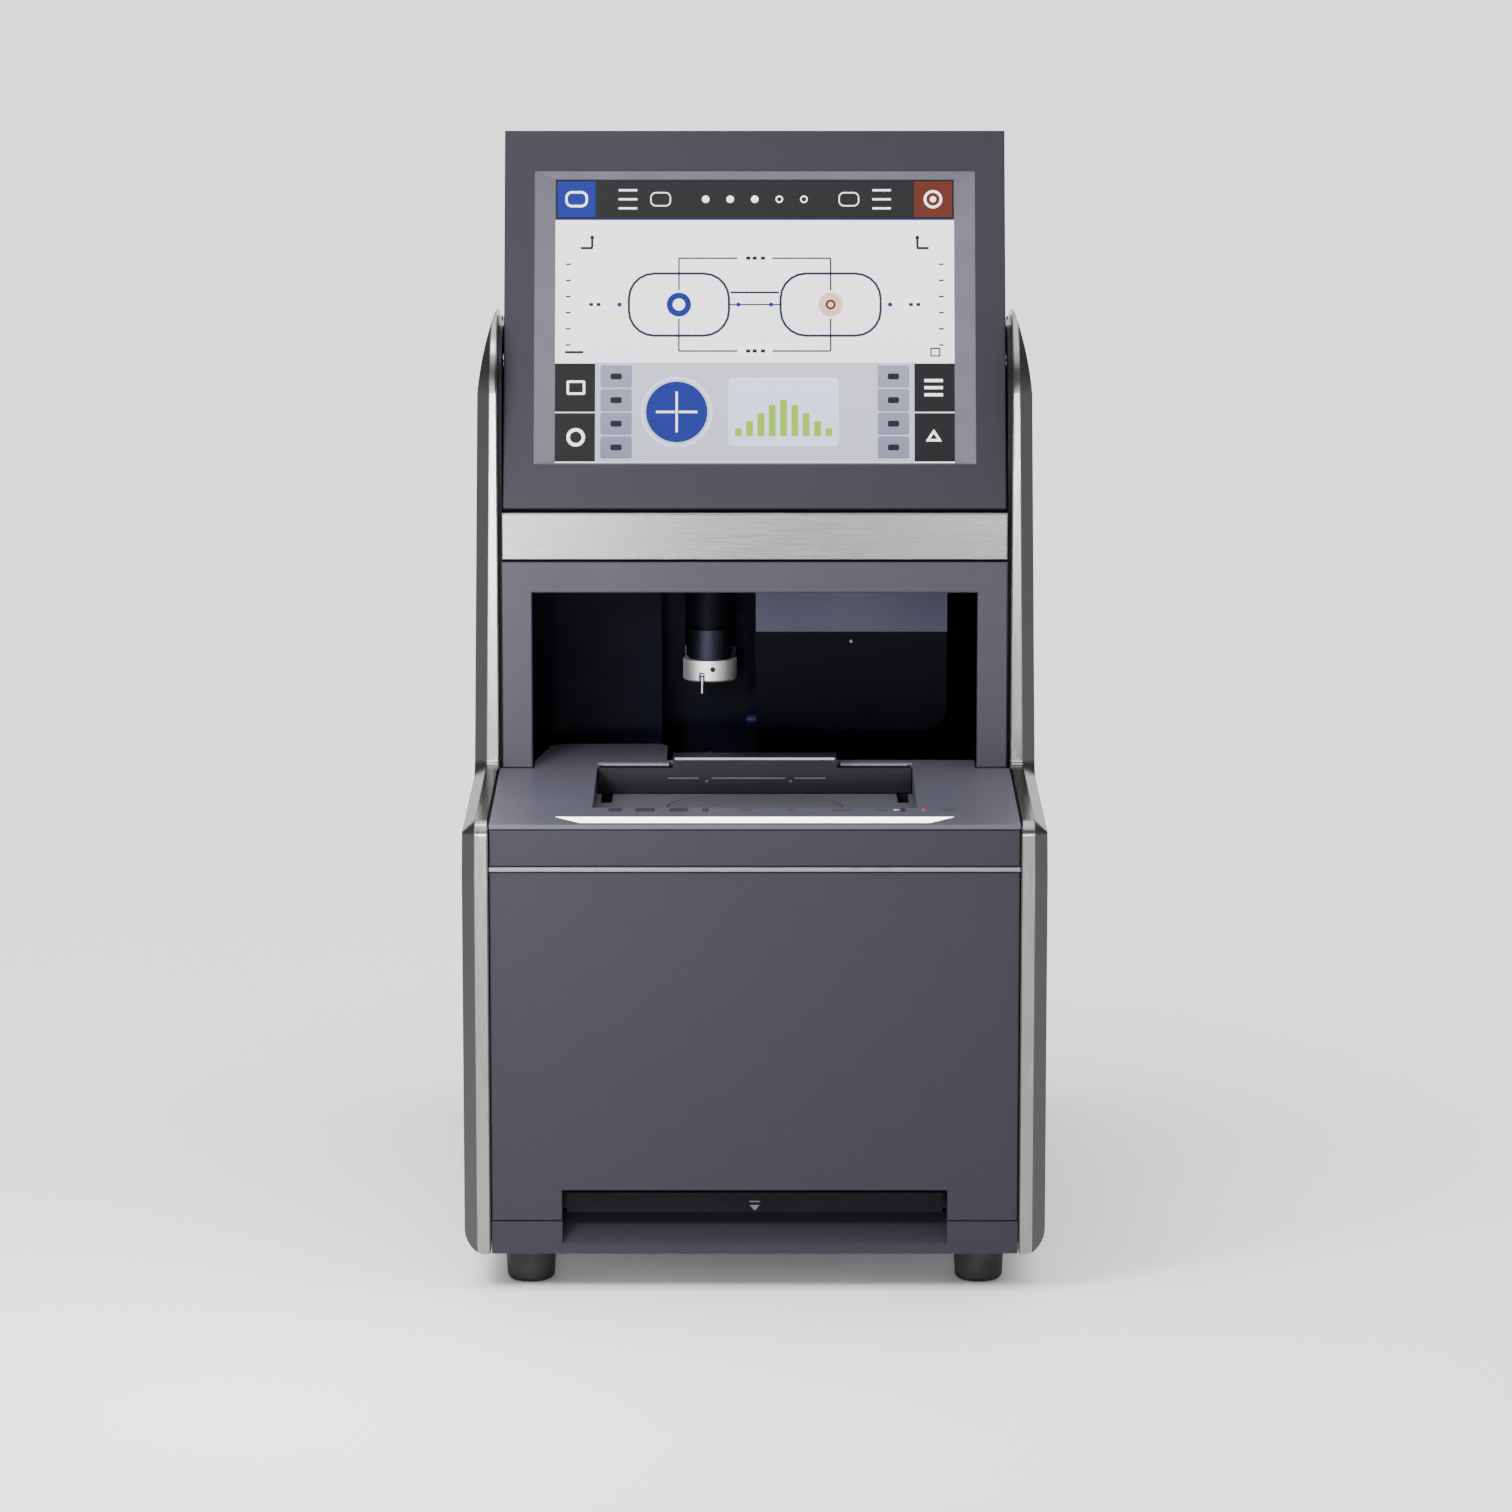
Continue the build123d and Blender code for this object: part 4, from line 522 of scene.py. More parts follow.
EDGE_TRIM = Brushed("edge_trim", (0.2, 0.194, 0.187), Grain.ALONG_EDGE, roughness=0.17, relief=0.03)
WIDE_BAND = Brushed("wide_band", (0.135, 0.131, 0.124), Grain.ALONG_X, roughness=0.22)
THIN_STRIP = Brushed("thin_strip", (0.16, 0.156, 0.165), Grain.ALONG_X)
ZINC = Metal("zinc_sheet", (0.5, 0.51, 0.52), roughness=0.36, mottle=70.0, spread=0.16)
CASTING = Metal("cast_light_metal", (0.5, 0.5, 0.51), roughness=0.42)
ANODISED = Metal("black_anodised", (0.026, 0.029, 0.042), roughness=0.5)
GROUND_STEEL = Metal(
    "ground_steel", (0.66, 0.66, 0.67), roughness=0.2, mottle=500.0, spread=0.05, relief=0.05
)
BRONZE = Metal("sintered_bronze", (0.5, 0.33, 0.16), roughness=0.45)
CHUCK_METAL = Turned("chuck_metal", (0.93, 0.94, 1.0), HEAD_AXIS, roughness=0.5)
DISC_PAINT = Paint("disc_paint", (0.055, 0.053, 0.064), roughness=0.45)
SURROUND = Moulding("surround_plastic", (0.098, 0.091, 0.113), roughness=0.42)
BAY_BLACK = Moulding("bay_lining", (0.0008, 0.001, 0.004), roughness=0.5, specular=0.05)
DRIVE_BLACK = Moulding("drive_cover_plastic", (0.0016, 0.0018, 0.007), roughness=0.5, specular=0.05)
HOUSING_BLACK = Moulding("housing_black", (0.01, 0.011, 0.018), roughness=0.4)
CARRIAGE_BLACK = Moulding("carriage_black", (0.0015, 0.0016, 0.004), roughness=0.55, specular=0.08)
BAND_GREY = Moulding("optics_band_plastic", (0.05, 0.053, 0.095), roughness=0.45)
JAW_BLACK = Moulding("jaw_plastic", (0.009, 0.009, 0.012), roughness=0.45, specular=0.2)
BAR_BLACK = Moulding("release_bar_plastic", (0.003, 0.003, 0.005), roughness=0.5, specular=0.08)
TRAY_GREY = Moulding("tray_plastic", (0.05, 0.05, 0.056), roughness=0.5)
SOCKET_BLACK = Moulding("socket_black", (0.01, 0.01, 0.011), roughness=0.45)
SMOKED = Polished("smoked_front", (0.001, 0.0012, 0.004), roughness=0.2, specular=0.03)
SCREEN_GLASS = Polished("screen_glass", (0.006, 0.006, 0.008))
BLUE_GLASS = Lens("blue_lamp_glass", (0.004, 0.005, 0.05), roughness=0.5, glow=0.25)
FOOT_RUBBER = Rubber("foot_rubber")
BELT_RUBBER = Rubber("belt_rubber", ribs=60.0)
BOARD = CircuitBoard("circuit_board")
DARK_PRINT = Paint("dark_print", (0.02, 0.02, 0.026), roughness=0.5)
SOFT_PRINT = Paint("soft_print", (0.042, 0.042, 0.054), roughness=0.45)
IVORY_PRINT = Paint("ivory_print", (0.7, 0.7, 0.72), roughness=0.5)
IVORY_SIGN = Paint("ivory_sign", (0.7, 0.7, 0.72), roughness=0.5)
GREY_PRINT = Paint("grey_print", (0.1, 0.1, 0.115), roughness=0.45)
GREY_LINE = Paint("grey_line", (0.1, 0.1, 0.115), roughness=0.4)
# Glow of the light bar: a painted highlight of the deck's front bevel, made to glow although no lamp is in
# it
BEVEL_HIGHLIGHT_GLOW = Lit("painted_bevel_highlight_glow", WHITE, WHITE, 6.0)
RED_LAMP = Lit("red_lamp", (0.8, 0.02, 0.03), (0.9, 0.03, 0.04), 1.2)
WHITE_LAMP = Lit("white_lamp", (0.85, 0.9, 1.0), (0.85, 0.9, 1.0), 0.3)
FLOOR_WHITE = Paint("floor_white", (0.9, 0.9, 0.9), roughness=0.75, peel=0.02, spread=0.005)


@cache
def finish_material(finish: Finish) -> bpy.types.Material:
    """Returns the material of a finish, made at its first use."""
    return finish.make()


def dress(piece: bpy.types.Object, finish: Finish) -> None:
    """Gives a whole piece one finish."""
    piece.data.materials.clear()
    piece.data.materials.append(finish_material(finish))


def deselect_all() -> None:
    """Clears the selection."""
    for thing in bpy.context.selected_objects:
        thing.select_set(False)


def select_only(piece: bpy.types.Object) -> None:
    """Makes one piece the only selected and active one.

    Args:
        piece: The piece.
    """
    deselect_all()
    piece.select_set(True)
    bpy.context.view_layer.objects.active = piece


def select_mesh() -> None:
    """Selects the whole mesh in edit mode."""
    bpy.ops.mesh.select_all(action="SELECT")


@contextmanager
def editing(piece: bpy.types.Object) -> Iterator[None]:
    """Edit mode on one piece, with nothing selected at the start.

    Args:
        piece: The piece to edit.
    """
    select_only(piece)
    bpy.ops.object.mode_set(mode="EDIT")
    bpy.ops.mesh.select_all(action="DESELECT")
    yield
    bpy.ops.object.mode_set(mode="OBJECT")


def pick_faces(piece: bpy.types.Object, wanted: Callable[[bmesh.types.BMFace], bool]) -> None:
    """Selects the faces that pass a test, and no others.

    Args:
        piece: The piece in edit mode.
        wanted: Test on one face.
    """
    bpy.ops.mesh.select_mode(type="FACE")
    bpy.ops.mesh.select_all(action="DESELECT")
    mesh = bmesh.from_edit_mesh(piece.data)
    for face in mesh.faces:
        face.select = wanted(face)
    mesh.select_flush_mode()
    bmesh.update_edit_mesh(piece.data)


def close_mesh(piece: bpy.types.Object) -> None:
    """Merges doubles and turns all faces outwards.

    Args:
        piece: The piece.
    """
    with editing(piece):
        select_mesh()
        bpy.ops.mesh.remove_doubles(threshold=DOUBLES)
        bpy.ops.mesh.normals_make_consistent(inside=False)


def apply_modifiers(piece: bpy.types.Object) -> None:
    """Applies all modifiers of a piece in their order.

    Args:
        piece: The piece.
    """
    select_only(piece)
    for name in [modifier.name for modifier in piece.modifiers]:
        bpy.ops.object.modifier_apply(modifier=name)


def round_edges(piece: bpy.types.Object, radius: float, segments: int = 2) -> None:
    """Rounds the sharp edges of a piece.

    Args:
        piece: The piece.
        radius: Radius of the rounding, in metres.
        segments: Steps of the rounding.
    """
    bevel = piece.modifiers.new("round", "BEVEL")
    bevel.width = radius
    bevel.segments = segments
    bevel.limit_method = "ANGLE"
    bevel.angle_limit = SHARP_ANGLE
    apply_modifiers(piece)


def settle(piece: bpy.types.Object, place: Matrix) -> None:
    """Moves a piece to its place and writes the place into its mesh.

    Args:
        piece: The piece, modelled about the origin.
        place: Where the origin goes, with its turn.
    """
    piece.matrix_world = place @ piece.matrix_world
    select_only(piece)
    bpy.ops.object.transform_apply(location=True, rotation=True, scale=True)


def join(pieces: Sequence[bpy.types.Object], name: str) -> bpy.types.Object:
    """Joins pieces into one.

    Args:
        pieces: The pieces.
        name: Name of the whole.

    Returns:
        The joined piece.
    """
    deselect_all()
    for piece in pieces:
        piece.select_set(True)
    bpy.context.view_layer.objects.active = pieces[0]
    if len(pieces) > 1:
        bpy.ops.object.join()
    pieces[0].name = name
    return pieces[0]


def copy_to(piece: bpy.types.Object, place: Matrix) -> bpy.types.Object:
    """Copies a piece with its own mesh to another place.

    Args:
        piece: The piece, modelled about the origin.
        place: Where the copy goes.

    Returns:
        The copy.
    """
    twin = piece.copy()
    twin.data = piece.data.copy()
    bpy.context.collection.objects.link(twin)
    settle(twin, place)
    return twin


def hand_over(piece: bpy.types.Object, body: str, finish: Finish) -> None:
    """Dresses a finished piece and lets it ride.

    Args:
        piece: The piece, at its place.
        body: Body that carries it.
        finish: Its finish.
    """
    select_only(piece)
    bpy.ops.object.shade_smooth_by_angle(angle=SMOOTH_ANGLE)
    dress(piece, finish)
    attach(piece, body)
    LOG.info("piece %s rides on %s", piece.name, body)


def name_new(name: str) -> bpy.types.Object:
    """Names the object that was added last, and returns it."""
    bpy.context.object.name = name
    return bpy.context.object


@dataclass(frozen=True)
class Mark:
    """One flat mark on a plane, in millimetres.

    Attributes:
        u: Place to the right.
        v: Place upwards.
        wide: Width.
        tall: Height, or the width again.
        shape: Outline.
        corner: Radius of the corners.
        line: Width of the line where only the outline is drawn.
        turn: Turn to the left, in degrees.
    """

    u: float
    v: float
    wide: float
    tall: float = 0.0
    shape: Shape = Shape.TILE
    corner: float = 0.0
    line: float = 0.0
    turn: float = 0.0

    def draw(self) -> None:
        """Adds the flat mark to the mesh in edit mode."""
        bpy.ops.mesh.select_all(action="DESELECT")
        centre = (self.u * MM, self.v * MM, 0.0)
        if self.shape is Shape.TILE:
            bpy.ops.mesh.primitive_plane_add(size=1.0, location=centre)
        else:
            sides = 3 if self.shape is Shape.WEDGE else ROUND_SIDES
            bpy.ops.mesh.primitive_circle_add(vertices=sides, radius=0.5, fill_type="NGON", location=centre)
        size = (self.wide * MM, (self.tall or self.wide) * MM, 1.0)
        bpy.ops.transform.resize(value=size, center_override=centre)
        if self.turn:
            bpy.ops.transform.rotate(value=-radians(self.turn), orient_axis="Z", center_override=centre)
        if self.corner:
            bpy.ops.mesh.bevel(offset=self.corner * MM, segments=CORNER_STEPS, affect="VERTICES")
        if self.line:
            bpy.ops.mesh.inset(thickness=self.line * MM)
            bpy.ops.mesh.delete(type="FACE")


def both(*marks: Mark) -> list[Mark]:
    """Returns marks of the right side after the same ones mirrored to the left."""
    return [*(replace(mark, u=-mark.u) for mark in marks), *marks]


def row_of_tiles(places: Sequence[Pair], tall: float, corner: float) -> tuple[Mark, ...]:
    """Returns tiles on one line, from the middle and width of each."""
    return tuple(Mark(u, 0.0, wide, tall, corner=corner) for u, wide in places)


def flat_plates(name: str, marks: Sequence[Mark], thick: float) -> bpy.types.Object:
    """Models a group of marks as thin plates about the origin.

    Args:
        name: Name of the piece.
        marks: The marks.
        thick: Thickness, in metres.

    Returns:
        The piece, with its mesh not closed yet.
    """
    deselect_all()
    bpy.ops.mesh.primitive_plane_add(size=1.0)
    piece = name_new(name)
    with editing(piece):
        select_mesh()
        bpy.ops.mesh.delete(type="VERT")
        bpy.ops.mesh.select_mode(type="FACE")
        for mark in marks:
            mark.draw()
        select_mesh()
        bpy.ops.mesh.extrude_region_move(TRANSFORM_OT_translate={"value": (0.0, 0.0, thick)})
    return piece


def print_marks(name: str, marks: Sequence[Mark], place: Matrix, thick: float = LAYER) -> bpy.types.Object:
    """Models a group of marks as thin closed plates on a surface.

    Args:
        name: Name of the piece.
        marks: The marks.
        place: Their plane: +Z of this place points out of the surface.
        thick: Thickness, in metres.

    Returns:
        The piece at its place.
    """
    piece = flat_plates(name, marks, thick)
    close_mesh(piece)
    settle(piece, place)
    return piece


def model_cylinder(name: str, radius: float, height: float, place: Matrix) -> bpy.types.Object:
    """Models a round body that stands on the origin of a place.

    Args:
        name: Name of the piece.
        radius: Its radius.
        height: Its height along +Z of the place.
        place: Where it stands.

    Returns:
        The piece at its place.
    """
    deselect_all()
    bpy.ops.mesh.primitive_cylinder_add(
        vertices=ROUND_SIDES, radius=radius, depth=height, location=(0.0, 0.0, height / 2)
    )
    piece = name_new(name)
    round_edges(piece, min(radius, height) * EDGE_SHARE)
    settle(piece, place)
    return piece


def model_dome(name: str, radius: float, rise: float, place: Matrix) -> bpy.types.Object:
    """Models a closed dome.

    Args:
        name: Name of the piece.
        radius: Radius of its foot.
        rise: Height of the dome.
        place: Where the foot's centre goes.

    Returns:
        The piece at its place.
    """
    deselect_all()
    bpy.ops.mesh.primitive_uv_sphere_add(segments=ROUND_SIDES, ring_count=ROUND_SIDES // 2, radius=radius)
    piece = name_new(name)
    with editing(piece):
        select_mesh()
        bpy.ops.mesh.bisect(plane_co=ORIGIN, plane_no=UP, use_fill=True, clear_inner=True)
        select_mesh()
        bpy.ops.transform.resize(value=(1.0, 1.0, rise / radius), center_override=ORIGIN)
    close_mesh(piece)
    settle(piece, place)
    return piece


@dataclass(frozen=True)
class PanScrew:
    """Pan-head screw with a cross recess, standing on the origin.

    Attributes:
        radius: Radius of the head.
        height: Height of the head.
        rim: Width of the raised rim, in radii.
        dish: Depth of the dished top, in heights.
        cross: Length and width of the cross, in radii.
        cross_foot: Height of the foot of the cross, in heights.
    """

    radius: float
    height: float
    rim: float = 0.3
    dish: float = 0.06
    cross: Pair = (1.15, 0.28)
    cross_foot: float = 0.45

    def model(self, name: str) -> bpy.types.Object:
        """Models the screw.

        Args:
            name: Name of the piece.

        Returns:
            The piece about the origin.
        """
        head = model_cylinder(name, self.radius, self.height, Matrix.Identity(4))
        with editing(head):
            pick_faces(head, self.is_top)
            bpy.ops.mesh.inset(thickness=self.radius * self.rim)
            bpy.ops.transform.translate(value=(0.0, 0.0, -self.height * self.dish))
        long, thin = (self.radius * share / MM for share in self.cross)
        foot = Matrix.Translation((0.0, 0.0, self.height * self.cross_foot))
        for bar in (Mark(0.0, 0.0, long, thin), Mark(0.0, 0.0, thin, long)):
            cutter = print_marks("cross_cutter", [bar], foot, self.height)
            cut = head.modifiers.new("cross", "BOOLEAN")
            cut.operation = "DIFFERENCE"
            cut.object = cutter
            cut.solver = "EXACT"
            apply_modifiers(head)
            bpy.data.objects.remove(cutter)
        return head

    def is_top(self, face: bmesh.types.BMFace) -> bool:
        """Tells whether a face is the flat top of the head."""
        return face.normal.z > 0.99 and face.calc_center_median().z > self.height * 0.9


def facing(origin: Sequence[float], out: Sequence[float], up: Sequence[float] = UP) -> Matrix:
    """Place whose +Z points out of a surface and whose +Y points up it.

    Args:
        origin: Its origin.
        out: Direction out of the surface.
        up: Rough direction of +Y.

    Returns:
        The place as a matrix.
    """
    z_axis = Vector(out).normalized()
    x_axis = Vector(up).cross(z_axis).normalized()
    y_axis = z_axis.cross(x_axis)
    turn = Matrix((x_axis, y_axis, z_axis)).transposed().to_4x4()
    return Matrix.Translation(origin) @ turn


class Assembly:
    """Sub-assembly that dresses its CAD nodes and models its own pieces."""

    finishes: ClassVar[dict[str, Finish]]

    def dress(self) -> None:
        """Dresses the CAD nodes."""
        for name, finish in self.finishes.items():
            dress(frame["nodes"][name], finish)
            LOG.info("node %s in %s", name, finish.name)

    def build(self) -> None:
        """Models the pieces."""
        raise NotImplementedError


@dataclass
class Casing(Assembly):
    """Covers, trims, skins, base, feet and screws.

    Attributes:
        screw: Model of a screw.
        screw_inset: Distance of the outer screws from the ends of the back.
        cover_gap: Gap at both ends of the back cover.
        foot_radius: Radius of a foot.
        foot_recess: Height at which the screws of the feet sit.
    """

    screw: PanScrew = PanScrew(3.6 * MM, 2.2 * MM)
    screw_inset: float = 14.0 * MM
    cover_gap: float = 0.3 * MM
    foot_radius: float = 12.2 * MM
    foot_recess: float = 9.25 * MM

    finishes = {
        "side_covers": COVER_METAL,
        "side_trims": EDGE_TRIM,
        "front_sill": GRAPHITE,
        "front_fascia": GRAPHITE,
        "fascia_strip": THIN_STRIP,
        "bay_bezel": PORTAL_PAINT,
        "brushed_band": WIDE_BAND,
        "top_cover": REAR_PAINT,
        "back_cover": REAR_PAINT,
        "well_panel": MONITOR_PAINT,
        "base_plate": ZINC,
        "chassis_plates": FRAME_PAINT,
        "rubber_feet": FOOT_RUBBER,
        "screws": GROUND_STEEL,
    }

    def build(self) -> None:
        """Models the screws of the back and of the feet."""
        low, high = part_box("screws")
        back = high.y - self.screw.height
        columns = (low.x + self.screw.radius, high.x - self.screw.radius)
        places = [facing((x, back, z), TO_BACK) for x in columns for z in self.rear_heights()]
        places += [facing((x, y, self.foot_recess), DOWN, TO_BACK) for x, y in self.feet()]
        model = self.screw.model("screw_model")
        copies = [copy_to(model, place) for place in places]
        bpy.data.objects.remove(model)
        screws = join(copies, "cross_screws")
        hand_over(screws, "machine", GROUND_STEEL)
        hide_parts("screws")

    def rear_heights(self) -> tuple[float, float, float]:
        """Finds the heights of the screws on each side of the back.

        Returns:
            The lowest, the middle and the highest one.
        """
        low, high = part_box("back_cover")
        first = low.z - self.cover_gap + self.screw_inset
        last = high.z + self.cover_gap - self.screw_inset
        return (first, (first + last) / 2, last)

    def feet(self) -> list[Pair]:
        """Finds the centres of the feet.

        Returns:
            The place of each foot along X and Y.
        """
        low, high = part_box("rubber_feet")
        columns = (low.x + self.foot_radius, high.x - self.foot_radius)
        rows = (low.y + self.foot_radius, high.y - self.foot_radius)
        return [(x, y) for x in columns for y in rows]


@dataclass
class Deck(Assembly):
    """Sloping deck with its light bar, whose glow is a painted highlight of the front bevel, its rims,
    painted highlights on the bevel behind the mouth, and touch marks.

    Attributes:
        front: Front edge of the deck along Y.
        front_z: Height of the front edge.
        slope: Rise of the deck towards the back.
        marks_y: Line of the touch marks along Y.
        rim_y: Lower edge of the bevel behind the mouth.
        rim_rise: Rise of the bevel.
        rim_mitre: Distance by which the outer corners are drawn in.
        rims: Left and right end of each rim, in millimetres.
        dark_marks: Dark touch marks.
        soft_marks: Touch marks a little darker than the deck.
        pale_marks: Pale arrow.
        lamps: Red lamp.
    """

    front: float = -227.5 * MM
    front_z: float = 224.3 * MM
    slope: float = 8.1 / 120.0
    marks_y: float = -195.5 * MM
    rim_y: float = -98.0 * MM
    rim_rise: float = 2.1 * MM
    rim_mitre: float = 6.0 * MM
    rims: tuple[Pair, ...] = ((-77.0, -42.2), (42.2, 77.0))
    dark_marks: tuple[Mark, ...] = row_of_tiles(
        ((-66.0, 6.6), (-51.8, 9.4), (-36.0, 9.0), (-23.3, 3.3), (70.0, 2.6)), tall=7.0, corner=1.4
    )
    soft_marks: tuple[Mark, ...] = row_of_tiles(
        ((-4.4, 6.0), (17.0, 4.0), (41.6, 10.0), (60.0, 6.0), (91.9, 6.0)), tall=5.0, corner=0.9
    )
    pale_marks: tuple[Mark, ...] = (Mark(66.9, 0.0, 2.2, 4.4, Shape.WEDGE, turn=-90.0),)
    lamps: tuple[Mark, ...] = (Mark(79.8, 0.0, 1.8, 5.0, Shape.DISC),)

    finishes = {
        "deck_panel": DECK_PAINT,
        # The light bar glows as a painted highlight of the deck's front bevel; no lamp is in it
        "light_bar": BEVEL_HIGHLIGHT_GLOW,
    }

    def height(self, y: float) -> float:
        """Returns the height of the deck at a place along Y."""
        return self.front_z + (y - self.front) * self.slope

    def build(self) -> None:
        """Models the rims and the touch marks."""
        self.build_rims()
        place = facing((0.0, self.marks_y, self.height(self.marks_y)), (0.0, -self.slope, 1.0), TO_BACK)
        for name, marks, slot, finish in (
            ("touch_marks_dark", self.dark_marks, "bay_black", DARK_PRINT),
            ("touch_marks_soft", self.soft_marks, "stage_grey", SOFT_PRINT),
            ("touch_marks_pale", self.pale_marks, "light", IVORY_PRINT),
            ("red_touch_lamp", self.lamps, "light", RED_LAMP),
        ):
            hand_over(print_marks(name, marks, place), "machine", finish)

    def build_rims(self) -> None:
        """Models the rims, pale strips painted as the highlight of the bevel behind the mouth, mitred at
        their outer ends.
        """
        tall = hypot(self.rim_rise, self.rim_rise) / MM
        marks = [Mark((left + right) / 2, 0.0, right - left, tall) for left, right in self.rims]
        # Pale strips painted as the highlight of the bevel behind the mouth
        rims = flat_plates("deck_rim_highlights", marks, LAYER)
        self.mitre(rims)
        close_mesh(rims)
        middle = (0.0, self.rim_y + self.rim_rise / 2, self.height(self.rim_y) - self.rim_rise / 2)
        settle(rims, facing(middle, (0.0, -1.0, 1.0), TO_BACK))
        hand_over(rims, "machine", PAINTED_EDGE_HIGHLIGHT)

    def mitre(self, rims: bpy.types.Object) -> None:
        """Draws in the lower outer corners of the rims.

        Args:
            rims: The flat rims about the origin.
        """
        outer = self.rims[1][1] * MM - LAYER
        for vertex in rims.data.vertices:
            if abs(vertex.co.x) > outer and vertex.co.y < 0.0:
                vertex.co.x += self.rim_mitre if vertex.co.x < 0.0 else -self.rim_mitre


@dataclass
class Drawer(Assembly):
    """Drawer with its front, tray, slides and release bar.

    Attributes:
        arrow: Arrow on the release bar.
        dot: Small dot on the front.
    """

    arrow: tuple[Mark, ...] = (
        Mark(0.0, -2.2, 5.6, 3.6, Shape.WEDGE, corner=0.4, turn=180.0),
        Mark(0.0, 0.4, 5.0, 0.6),
    )
    dot: Mark = Mark(89.5, 166.0, 1.4, 1.4, Shape.DISC)

    finishes = {
        "drawer_front": GRAPHITE,
        "drawer_box": TRAY_GREY,
        "slide_channels": ZINC,
        "release_bar": BAR_BLACK,
    }

    def build(self) -> None:
        """Models the arrow on the release bar and the small dot on the front."""
        low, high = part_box("release_bar")
        bar = facing((0.0, low.y, (low.z + high.z) / 2), TO_FRONT)
        hand_over(print_marks("push_arrow", self.arrow, bar), "release", GREY_PRINT)
        front = facing((0.0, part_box("drawer_front")[0].y, 0.0), TO_FRONT)
        hand_over(print_marks("front_dot", [self.dot], front), "drawer", SOCKET_BLACK)


@dataclass
class Tracer(Assembly):
    """Tracer under the mouth: stage, jaws, turntable and drive.

    Attributes:
        edge: Pale strip painted as the highlight of the rear jaw's top edge, placed from its highest line.
        lines_z: Height of the lines on the rear jaw.
        lines: Lines and dots on the rear jaw.
    """

    edge: Mark = Mark(0.0, -0.75, 78.0, 1.1, corner=0.3)
    lines_z: float = 227.4 * MM
    lines: tuple[Mark, ...] = (
        Mark(-35.0, 0.0, 15.0, 0.5),
        Mark(-3.0, 0.0, 36.0, 0.5),
        Mark(27.0, 0.0, 15.0, 0.5),
        Mark(-23.5, -1.5, 1.1, 1.1, Shape.DISC),
        Mark(17.5, -1.5, 1.1, 1.1, Shape.DISC),
    )

    finishes = {
        "tracer_shelf": ZINC,
        "tracer_frame": CASTING,
        "turn_bearing": GROUND_STEEL,
        "turntable": CASTING,
        "tracer_disc": DISC_PAINT,
        "tracer_stage": STAGE_PAINT,
        "turn_belt": BELT_RUBBER,
        "motor_pulley": CASTING,
        "stylus_carriage": CASTING,
        "stylus": GROUND_STEEL,
        "rear_jaw": JAW_BLACK,
        "front_jaw": JAW_BLACK,
    }

    def build(self) -> None:
        """Models the painted highlight on the top edge of the rear jaw and the grey lines of the rear jaw.
        """
        low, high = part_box("rear_jaw")
        # Pale strip painted as the highlight of the jaw's top edge
        edge = print_marks("jaw_edge_highlight", [self.edge], facing((0.0, low.y, high.z), TO_FRONT), LAYER * 2)
        hand_over(edge, "jaw_rear", PAINTED_EDGE_HIGHLIGHT)
        lines = print_marks("jaw_lines", self.lines, facing((0.0, low.y, self.lines_z), TO_FRONT))
        hand_over(lines, "jaw_rear", GREY_LINE)


@dataclass
class BlockingBay(Assembly):
    """Blocking bay with its lining, drive cover, optics and lens support.

    Attributes:
        lamp_x: Place of the status lamp along X.
        lamp_z: Height of the status lamp.
        lamp_depth: Distance of its foot from the rear of the smoked front.
        lamp_radius: Radius of the status lamp.
        lamp_rise: Rise of its dome.
        pin_circle: Radius of the circle on which the lens pins stand.
        pin_turns: Turns of the pins round the head's axis, in degrees.
        tip_radius: Radius of a rubber tip.
        tip_rise: Height of a rubber tip.
        tip_sink: Depth of its foot under the top of the lens support.
    """

    lamp_x: float = 48.5 * MM
    lamp_z: float = 281.3 * MM
    lamp_depth: float = 1.0 * MM
    lamp_radius: float = 0.8 * MM
    lamp_rise: float = 0.6 * MM
    pin_circle: float = 19.0 * MM
    pin_turns: Triple = (90.0, 210.0, 330.0)
    tip_radius: float = 2.3 * MM
    tip_rise: float = 2.4 * MM
    tip_sink: float = 2.3 * MM

    finishes = {
        "bay_liner": BAY_BLACK,
        "drive_cover": DRIVE_BLACK,
        "optics_housing": BAY_BLACK,
        "optics_front": SMOKED,
        "optics_band": BAND_GREY,
        "guide_lamp": BLUE_GLASS,
        "lens_ring": HOUSING_BLACK,
        "lens_camera": ANODISED,
        "column_bracket": ZINC,
        "guide_rods": GROUND_STEEL,
        "drive_motors": MOTOR_PAINT,
    }

    def build(self) -> None:
        """Models the status lamp and the rubber tips of the lens pins."""
        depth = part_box("optics_front")[1].y - self.lamp_depth
        place = facing((self.lamp_x, depth, self.lamp_z), TO_FRONT)
        lamp = model_dome("status_lamp", self.lamp_radius, self.lamp_rise, place)
        hand_over(lamp, "machine", WHITE_LAMP)
        places = [self.pin(turn) for turn in self.pin_turns]
        tips = [model_dome("pin_tip", self.tip_radius, self.tip_rise, place) for place in places]
        hand_over(join(tips, "pin_tips"), "machine", FOOT_RUBBER)

    def pin(self, turn: float) -> Matrix:
        """Finds where the tip of a lens pin stands.

        Args:
            turn: Turn of the pin round the head's axis, in degrees.

        Returns:
            The place as a matrix.
        """
        x = HEAD_AXIS[0] + self.pin_circle * cos(radians(turn))
        y = HEAD_AXIS[1] + self.pin_circle * sin(radians(turn))
        return Matrix.Translation((x, y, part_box("lens_ring")[1].z - self.tip_sink))


